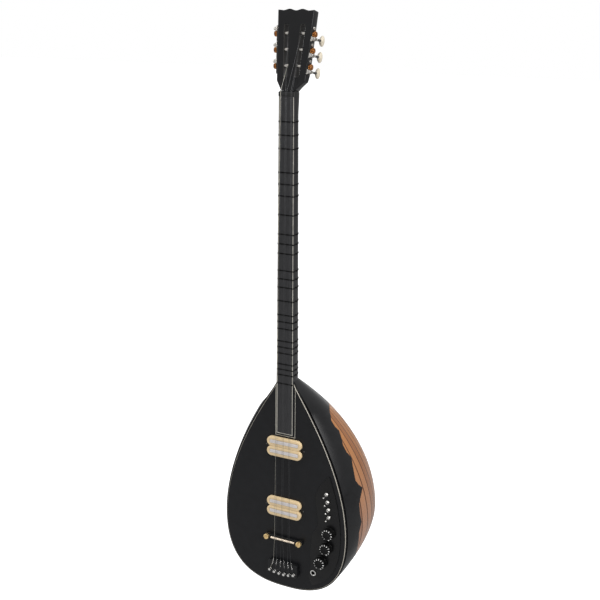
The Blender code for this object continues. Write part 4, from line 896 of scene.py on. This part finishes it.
# %% Bridge
ROD_HEIGHT, ROD_RADIUS, ROD_HALF = 0.0091, 0.0022, 0.0267
RIDGE = 0.0016
rod = []
for i in range(181):
    x = ROD_HALF * (i / 90 - 1)
    taper = 0.85 if i in (0, 180) else 1
    points = []
    for j in range(30):
        a = 2 * pi * j / 30
        radius = ROD_RADIUS * taper * (0.94 + 0.06 * cos(3 * a + 2 * pi * x / RIDGE))
        points.append((x, BRIDGE + radius * cos(a), ROD_HEIGHT + radius * sin(a)))
    rod.append(points)
Shape().skin(rod).piece("bridge_rod", ["bridge_saddle_rod"], "gold_plate", PALE_GOLD, sharp=60)
BEAM_HALF, BEAM_LOW, BEAM_TOP = 0.0426, 0.0016, 0.0066
bores = [circle(side * POST_AT, 0, POST_BORE) for side in (-1, 1)]
spot = Matrix.Translation((0, BRIDGE, 0))
beam = Shape().plate([rounded(BEAM_HALF, 0.0045, 0.0040), *bores], BEAM_LOW, BEAM_TOP, 0.0008, spot)
beam.piece("bridge_beam_black", ["bridge_beam"], "black_painted_metal", PAINTED)
POST_HEAD = 0.0055
POST = ((3, -8), (3, 0.3), (4.0, 0.3), (4.2, 0.5), (4.2, 1.1), (4.0, 1.3), (3, 1.3), (3, 6.9), (5.2, 6.9),
        (5.5, 7.2), (5.5, 11.2))
for side, word, slant in ((-1, "left", 35), (1, "right", 62)):
    local = Matrix.Translation((side * POST_AT, BRIDGE, 0)) @ Matrix.Rotation(radians(slant), 4, "Z")
    post = Shape().skin(turned(POST, 36), local)
    for half in (-1, 1):
        outline = [(x, half * y) for x, y in arc_points(POST_HEAD, 11, 169, 20)]
        post.plate([outline], 0.0111, 0.0129, 0.0009, local)
    post.piece("bridge_screw_" + word, ["bridge_post_" + word], "gold_plate", GOLD)
print("rod", round(2000 * ROD_HALF), "mm long on a beam of", round(2000 * BEAM_HALF), "mm")

# %% [markdown]
# The strings end on a low black block with six chrome pins in a bowed row. Each pin is turned: a thin
# stem and a domed head that keeps the loop from slipping off.

# %% Tailpiece and hitch pins
PINS = [Vector((0.0108 * (i - 2.5), -0.9495 - 0.004 * (1 - (0.4 * i - 1) ** 2))) for i in range(6)]
BLOCK_AT, BLOCK_HALF, BLOCK_TOP = -0.944, 0.014, 0.0093
spot = Matrix.Translation((0, BLOCK_AT, 0))
block = Shape().plate([rounded(0.033, BLOCK_HALF, 0.004)], GAP, BLOCK_TOP, 0.0012, spot)
block.piece("tailpiece_block", ["tailpiece"], "black_painted_metal", PAINTED)
PIN = ((2.2, 9.2), (2.2, 9.6), (1.7, 9.8), (1.7, 12.4), (2.6, 12.7), (2.9, 13.1), (2.9, 14.3), (2.6, 15.0),
       (1.8, 15.4), (0.6, 15.6))
pins = Shape()
for pin in PINS:
    pins.skin(turned(PIN, 24), Matrix.Translation((pin.x, pin.y, 0)))
pins.piece("hitch_pins", ["tailpiece"], "chrome", CHROME)
print(len(PINS), "pins")

# %% [markdown]
# Six strings run in three pairs. At the tail each one is looped round its pin and twisted back on itself;
# at the head it is wound on its roller. The wound turns ride on the roller, so they go round with it.

# %% Strings
AT_BRIDGE = in_pairs(0.0155, 0.0015)
ORDER = ("left_1", "left_2", "left_3", "right_3", "right_2", "right_1")
ROLLER, TURNS, WOUND_AT = 0.0035, 4, (0.0100, 0.0120, 0.0138)
LOOP_HEIGHT, LOOP_RADIUS = 0.0112, 0.0016
GAUGES = (0.00034, 0.00016, 0.00018, 0.00018, 0.00016, 0.00018)


def helix(first, last, radius, turns, across, steps=96):
    """A path that winds round a straight line, and starts on one side of it."""
    other = (last - first).normalized().cross(across)
    path = []
    for i in range(steps + 1):
        a = 2 * pi * turns * i / steps
        path.append(first.lerp(last, i / steps) + radius * (cos(a) * across + sin(a) * other))
    return path


for i, (pin, key, gauge) in enumerate(zip(PINS, ORDER, GAUGES)):
    metal = MUSIC_WIRE if i else BRONZE
    local = tuner_frame(key)
    side = copysign(1, local.translation.x)
    along = side * WOUND_AT[int(key[-1]) - 1]
    down_shaft = (along - local.translation.x) / local.col[0].x
    tip = FACE.inverted() @ local @ Vector((down_shaft, 0, ROLLER + gauge))
    edge = Vector((0.008 * (i - 2.5), BLOCK_AT + BLOCK_HALF, BLOCK_TOP + GAP + gauge))
    saddle = Vector((AT_BRIDGE[i], BRIDGE, ROD_HEIGHT + ROD_RADIUS + gauge))
    nut = Vector((AT_NUT[i], NUT_FRONT, NUT_TOP + gauge))
    start = Vector((pin.x, pin.y, LOOP_HEIGHT))
    pull = (edge - start).to_2d().normalized()
    loop = []
    for step in range(21):
        a = atan2(pull.y, pull.x) + radians(35 + 290 * step / 20)
        loop.append(start + polar(LOOP_RADIUS + gauge, a))
    run = [edge, edge.lerp(saddle, 0.5), saddle, saddle.lerp(nut, 0.5), nut, nut.lerp(tip, 0.5), tip]
    string = Shape().skin(wire(loop[:1] + [edge.lerp(start, 0.6)] + run, gauge, 10))
    string.skin(wire(loop, gauge, 8))
    string.piece(f"string_{i + 1}_wire", [f"string_{i + 1}"], "steel", metal, sharp=60)
    first, last = edge.lerp(start, 0.45), edge.lerp(saddle, 0.12)
    across = (last - first).normalized().orthogonal().normalized()
    wrap = Shape().skin(wire(helix(first, last, 0.0005, 8, across), 0.00025, 6))
    wrap.piece(f"string_{i + 1}_twist", [f"string_{i + 1}"], "steel", CHROME)
    first, last = Vector((down_shaft, 0, 0)), Vector((down_shaft - 2.1 * gauge * TURNS, 0, 0))
    coil = helix(first, last, ROLLER + gauge, TURNS, Vector((0, 0, 1)))
    wound = Shape(local).skin(wire(coil, gauge, 6))
    wound.piece("winding_" + key, ["string_roller_" + key], "steel", metal, "roller_" + key, 60)
print("strings over", round(1000 * (NUT_FRONT - BRIDGE)), "mm")

# %% [markdown]
# Each pickup is a pair of cream bobbins. A bobbin is a round-ended plate with a long slot, and a broad
# brushed blade sits in the slot with a thin dark gap round it. Below the soundboard the coil is a plain
# dark body, and a small screw at each end holds the pickup down.

# %% Pickups
BOBBIN_SIZE = (0.038, 0.01005, 0.0100)
BLADE_SLOT, BLADE_SIZE = (0.0314, 0.0038, 0.0012), (0.031, 0.0034, 0.0008)
COIL_LOW, COIL_TOP, BOBBIN_TOP, BLADE_TOP, EAR_AT = -0.012, 0.0012, 0.0063, 0.0068, 0.0418
for word, v in PICKUPS.items():
    node = word + "_pickup"
    local = Matrix.Translation((0, v, 0))
    coil = Shape().plate([pickup_loop(0.9)], COIL_LOW, COIL_TOP, local=local)
    coil.piece(node + "_coil", [node], "black_plastic", PLASTIC)
    for side, which in ((-1, "lower"), (1, "upper")):
        spot = Matrix.Translation((0, v + side * BOBBIN_AT, 0))
        loops = [rounded(*BOBBIN_SIZE, 12), rounded(*BLADE_SLOT, 4)]
        bobbin = Shape().plate(loops, GAP, BOBBIN_TOP, 0.0011, spot)
        bobbin.piece(f"{node}_{which}_bobbin", [node], "cream_bobbin", BOBBIN)
        blade = Shape().plate([rounded(*BLADE_SIZE, 4)], 0.0013, BLADE_TOP, 0.0004, spot)
        blade.piece(f"{node}_{which}_bar", [f"{node}_{which}_blade"], "pickup_blade", BLADE)
    ends = Shape()
    for side in (-1, 1):
        spot = Matrix.Translation((side * EAR_AT, v, 0.0001)) @ Matrix.Rotation(0.6, 4, "Z")
        screw(ends, spot, 0.0014, 0.0012)
    ends.piece(node + "_screws", [node], "steel", MUSIC_WIRE)
print("pickups at, mm:", {word: round(1000 * v) for word, v in PICKUPS.items()})

# %% [markdown]
# The controls sit on a thin black plate, shaped like a crescent that follows the rim. Its outline is
# measured in from the edge of the body, so the same curve that shapes the body also shapes the plate.

# %% Control plate
INNER_EDGE = (
    (-0.137, 0.0148), (-0.128, 0.0313), (-0.112, 0.0473), (-0.097, 0.0553), (-0.078, 0.0588),
    (-0.028, 0.0599), (-0.0146, 0.0660), (0.001, 0.0745), (0.039, 0.0748), (0.073, 0.0720), (0.110, 0.0613),
    (0.142, 0.0453), (0.154, 0.0313),
)
PLATE_TOP, PLATE_END = INNER_EDGE[0][0], INNER_EDGE[-1][0]
RIM_MARGIN, PLATE_THICK = 0.0128, 0.0018
ARCS = [0.0]
for a, b in zip(EDGE, EDGE[1:]):
    ARCS.append(ARCS[-1] + (b - a).length)
widest = ARCS[EDGE.index(Vector((HALF, BELLY)))]
ARCS = [arc - widest for arc in ARCS]


def rim_point(arc, inset):
    """A place inside the body's outline, measured along it from the widest place."""
    i = min(max(bisect_left(ARCS, arc), 1), len(EDGE) - 1)
    along = (EDGE[i] - EDGE[i - 1]).normalized()
    p = EDGE[i - 1].lerp(EDGE[i], (arc - ARCS[i - 1]) / (ARCS[i] - ARCS[i - 1]))
    return (p.x + inset * along.y, p.y - inset * along.x)


def inner_inset(arc):
    """The plate's inner edge, averaged over a few near places to round its corners."""
    table = [Vector((inset, -at)) for at, inset in INNER_EDGE]
    near = [min(max(arc + step, PLATE_TOP), PLATE_END) for step in (-0.004, -0.002, 0, 0.002, 0.004)]
    return sum(read(table, -at) for at in near) / len(near)


spread = [PLATE_TOP + (PLATE_END - PLATE_TOP) * i / 90 for i in range(91)]
outline = [rim_point(arc, RIM_MARGIN) for arc in spread]
outline += [rim_point(arc, inner_inset(arc)) for arc in reversed(spread)]
LEVERS = [Vector(JOINTS[f"lever_flip_{i}"]["pos_m"]) for i in (1, 2, 3, 4)]
JACK = (sum(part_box("output_jack"), Vector()) / 2).xz
drilled = [circle(knob.x, knob.z, 0.0043) for knob in KNOBS] + [circle(p.x, p.z, 0.0033) for p in LEVERS]
drilled.append(circle(JACK.x, JACK.y, 0.0048))
Shape().plate([outline, *drilled], GAP, PLATE_THICK, 0.0004).piece(
    "control_plate_black", ["control_plate"], "black_plastic", PLASTIC)
print(len(drilled), "holes in the plate")

# %% [markdown]
# The knobs are moulded with a thin skirt, a grip with flutes and a bevel that carries white numbers. The
# flutes are made by letting the radius rise and fall round the grip. The numbers are real lettering, laid
# on the bevel and turned to face outwards.


# %% Knobs
def lettering(text, size):
    """Points and faces of a number, as a very thin solid."""
    curve = bpy.data.curves.new("number", "FONT")
    curve.body, curve.size, curve.extrude = text, size, 0.00004
    curve.align_x, curve.align_y = "CENTER", "CENTER"
    curve.resolution_u, curve.offset = 3, 0.00016
    holder = bpy.data.objects.new("number", curve)
    bpy.context.scene.collection.objects.link(holder)
    mesh = evaluated_mesh(holder)
    bpy.data.objects.remove(holder)
    return [v.co.copy() for v in mesh.vertices], [tuple(p.vertices) for p in mesh.polygons]


def fluted(radius, height, cut, flutes=18, steps=6):
    points = []
    for i in range(flutes * steps):
        a = 2 * pi * i / (flutes * steps)
        points.append(polar(radius - cut * (0.5 + 0.5 * cos(flutes * a)) ** 2, a, height))
    return points


SKIRT = ((3, -8), (3, 4.7), (9, 4.7), (9, 2.4), (12.7, 2.4), (13, 2.7), (13, 4.3), (12.7, 4.6), (12.3, 4.6))
GRIP = ((12.3, 4.9, 0.5), (12.35, 12.4, 0.5), (12.2, 12.9, 0.2), (11.9, 13.15, 0), (7.9, 15.2, 0),
        (7.4, 15.4, 0), (6.9, 15.4, 0), (6.3, 15.1, 0))
BEVEL = Matrix.Rotation(-atan2(2.05, 4.0), 4, "X")
for i, knob in enumerate(KNOBS, 1):
    shape = Shape(FACE @ Matrix.Translation((knob.x, knob.z, 0)))
    grip = [fluted(r / 1000, h / 1000, c / 1000) for r, h, c in GRIP]
    shape.skin(turned(SKIRT, 108) + grip)
    shape.piece(f"knob_{i}_moulding", [f"knob_{i}"], "black_plastic", KNOB_BLACK, f"knob_{i}")
    marks = Shape(shape.place)
    for number in range(11):
        turn = Matrix.Rotation(radians(150 - 30 * number), 4, "Z")
        local = turn @ Matrix.Translation((0, 0.00985, 0.01423)) @ BEVEL
        points, faces = lettering(str(number), 0.0036)
        start = len(marks.points)
        marks.points += [marks.place @ (local @ p) for p in points]
        marks.faces += [tuple(start + index for index in face) for face in faces]
    marks.piece(f"knob_{i}_numbers", [f"knob_{i}"], "black_plastic", WHITE, f"knob_{i}")
print("knobs at, mm:", [(round(1000 * k.x), round(1000 * k.z)) for k in KNOBS])

# %% [markdown]
# Four small toggle switches stand in a row. Each has a threaded steel bush, a six-sided nut and a
# bat-shaped lever that tilts in the bush. A thin black tube inside the bore is painted shade.

# %% Switches
THREAD = [(3.0 - 0.22 * (step % 2), 4.0 + 0.3 * step) for step in range(12, -1, -1)]
BUSH = [(2.2, 1.8), (2.2, 7.6), (2.4, 7.8), (2.8, 7.8), *THREAD, (3, 3.9), (3, -1.5)]
SHADE_LINING = ((2.0, 1.9), (2.0, 7.5), (2.18, 7.5), (2.18, 1.9), (2.0, 1.9))
LEVER = ((0.9, -3.0), (0.9, -1.4), (1.5, -0.6), (1.7, 0), (1.5, 0.6), (0.9, 1.4), (0.95, 3), (1.05, 5.0),
         (1.3, 7.6), (1.5, 9.5), (1.48, 10.4), (1.2, 11.1), (0.6, 11.5))
for i, lever in enumerate(LEVERS, 1):
    bush = Shape(FACE @ Matrix.Translation((lever.x, lever.z, 0)))
    bush.skin(turned(BUSH, 28))
    bush.plate([rounded(0.004, 0.0065, 0.0006, 2)], -0.011, -0.0015)
    body = [f"switch_{i}_body"]
    bush.piece(f"switch_{i}_bush", body, "chrome", STEEL)
    # Painted shade: a thin near-black tube inside the bush darkens its bore.
    shade_lining = Shape(bush.place).skin(turned(SHADE_LINING, 28), caps=False)
    shade_lining.piece(f"switch_{i}_lining", body, "black_plastic", KNOB_BLACK)
    hexagon = Shape(bush.place @ Matrix.Rotation(0.3 + i, 4, "Z"))
    hexagon.skin(turned(((3.6, 2.1), (3.9, 2.25), (3.9, 3.6), (3.6, 3.9)), 6))
    hexagon.piece(f"switch_{i}_nut", body, "steel", STEEL)
    bat = Shape(Matrix.Translation(lever) @ FACE @ Matrix.Rotation(radians(12), 4, "X"))
    bat.skin(turned(LEVER, 20))
    bat.piece(f"switch_{i}_bat", [f"switch_{i}_lever"], "chrome", CHROME, f"lever_{i}", 60)
print(len(LEVERS), "switches")

# %% [markdown]
# The jack is a chrome ring round the dark hole where the cable goes in. Both are tubes, so their skins
# have no end caps. The cases of the controls are out of sight inside the body. They stay plain solids in
# a steel finish.

# %% Jack and hidden cases
JACK_RING = ((4.2, -9), (4.2, 4.4), (4.4, 4.6), (5.5, 4.6), (6.0, 4.4), (6.2, 3.9), (6.2, 2.1), (4.5, 2.1),
             (4.5, -1.5), (5.5, -1.5), (5.5, -9))
SLEEVE = ((3.25, -28.5), (3.25, 3.8), (3.5, 4.1), (4.19, 4.1), (4.19, -9), (5.5, -9), (5.5, -29.5))
JACK_AT = FACE @ Matrix.Translation((*JACK, 0))
socket = Shape(JACK_AT).skin(turned(JACK_RING, 40), caps=False)
socket.piece("jack_ring", ["output_jack"], "chrome", CHROME)
sleeve = Shape(JACK_AT).skin(turned(SLEEVE, 40), caps=False)
sleeve.piece("jack_sleeve", ["output_jack"], "black_plastic", PLASTIC)
for i in (1, 2, 3):
    pot = frame["nodes"][f"pot_{i}"]
    pot.data.materials.clear()
    pot.data.materials.append(STEEL)
print("jack at, mm:", [round(1000 * c) for c in JACK])

# %% [markdown]
# The photo is a cut-out on white. A pale floor lies below, and floor and surroundings are white for the
# camera and dimmer for everything else, so that the lamps can shape the object. A light-path node tells
# the two apart.

# %% Floor and surroundings
scene = bpy.context.scene
bpy.ops.mesh.primitive_plane_add(size=40, location=(0, 0, -1.25))
floor = bpy.context.object
floor.name = "floor"
PURE_WHITE = (1, 1, 1, 1)
pale = bpy.data.materials.new("pale_floor")
pale.use_nodes = True
shader = pale.node_tree.nodes["Principled BSDF"]
shader.inputs["Base Color"].default_value = (0.5, 0.5, 0.5, 1)
shader.inputs["Roughness"].default_value = 0.9
shader.inputs["Emission Color"].default_value = PURE_WHITE
connect(pale.node_tree, (add_node(pale.node_tree, "LightPath"), "Is Camera Ray", shader, "Emission Strength"))
floor.data.materials.append(pale)

scene.world = bpy.data.worlds.new("studio")
scene.world.use_nodes = True
tree = scene.world.node_tree
dim = tree.nodes["Background"]
dim.inputs["Color"].default_value = PURE_WHITE
dim.inputs["Strength"].default_value = 0.6
white = add_node(tree, "Background", Color=PURE_WHITE, Strength=1.0)
either = add_node(tree, "MixShader")
connect(tree, (add_node(tree, "LightPath"), "Is Camera Ray", either, "Fac"), (dim, 0, either, 1),
        (white, 0, either, 2), (either, 0, tree.nodes["World Output"], "Surface"))
print("floor at", floor.location.z, "m")

# %% [markdown]
# Four big soft lamps give the even light of the photo. Their round shapes also show in the gloss of the
# lacquer.


# %% Lamps
def soft_lamp(name, spot, target, size, power):
    light = bpy.data.lights.new(name, "AREA")
    light.shape, light.size, light.energy = "DISK", size, power
    lamp = bpy.data.objects.new(name, light)
    lamp.location = spot
    lamp.rotation_euler = (Vector(target) - Vector(spot)).to_track_quat("-Z", "Y").to_euler()
    scene.collection.objects.link(lamp)


soft_lamp("right_softbox", (2.2, -0.6, 0.4), (0, 0, -0.5), 1.6, 36)
soft_lamp("left_fill", (-2.4, -0.9, 0.9), (0, 0, -0.4), 1.6, 25)
soft_lamp("back_light", (-0.9, 2.6, -0.2), (0, 0, -0.4), 2.0, 6)
soft_lamp("top_lamp", (0.3, -0.5, 2.2), (0, 0, -0.4), 1.6, 25)
print(len(bpy.data.lights), "lamps")

# %% [markdown]
# The camera stands to the right of the instrument and a little above the nut, and looks down along it.
# Its place was found by matching the frets and both edges of the body with the photo.

# %% Camera
PHOTO_WIDTH, FOCAL, SENSOR = 600, 1074.9, 36
yaw, pitch, roll = (radians(angle) for angle in (27.76, 15.36, 0.55))
lens = bpy.data.cameras.new("photo_camera")
lens.sensor_width, lens.lens = SENSOR, FOCAL * SENSOR / PHOTO_WIDTH
camera = bpy.data.objects.new("photo_camera", lens)
scene.collection.objects.link(camera)
aim = Matrix.Rotation(yaw, 4, "Z") @ Matrix.Rotation(pi / 2 - pitch, 4, "X")
camera.matrix_world = Matrix.Translation((0.9351, -1.7201, 0.1550)) @ aim @ Matrix.Rotation(roll, 4, "Z")
scene.camera = camera
scene.view_settings.view_transform = "Standard"
print("lens", round(lens.lens, 1), "mm")
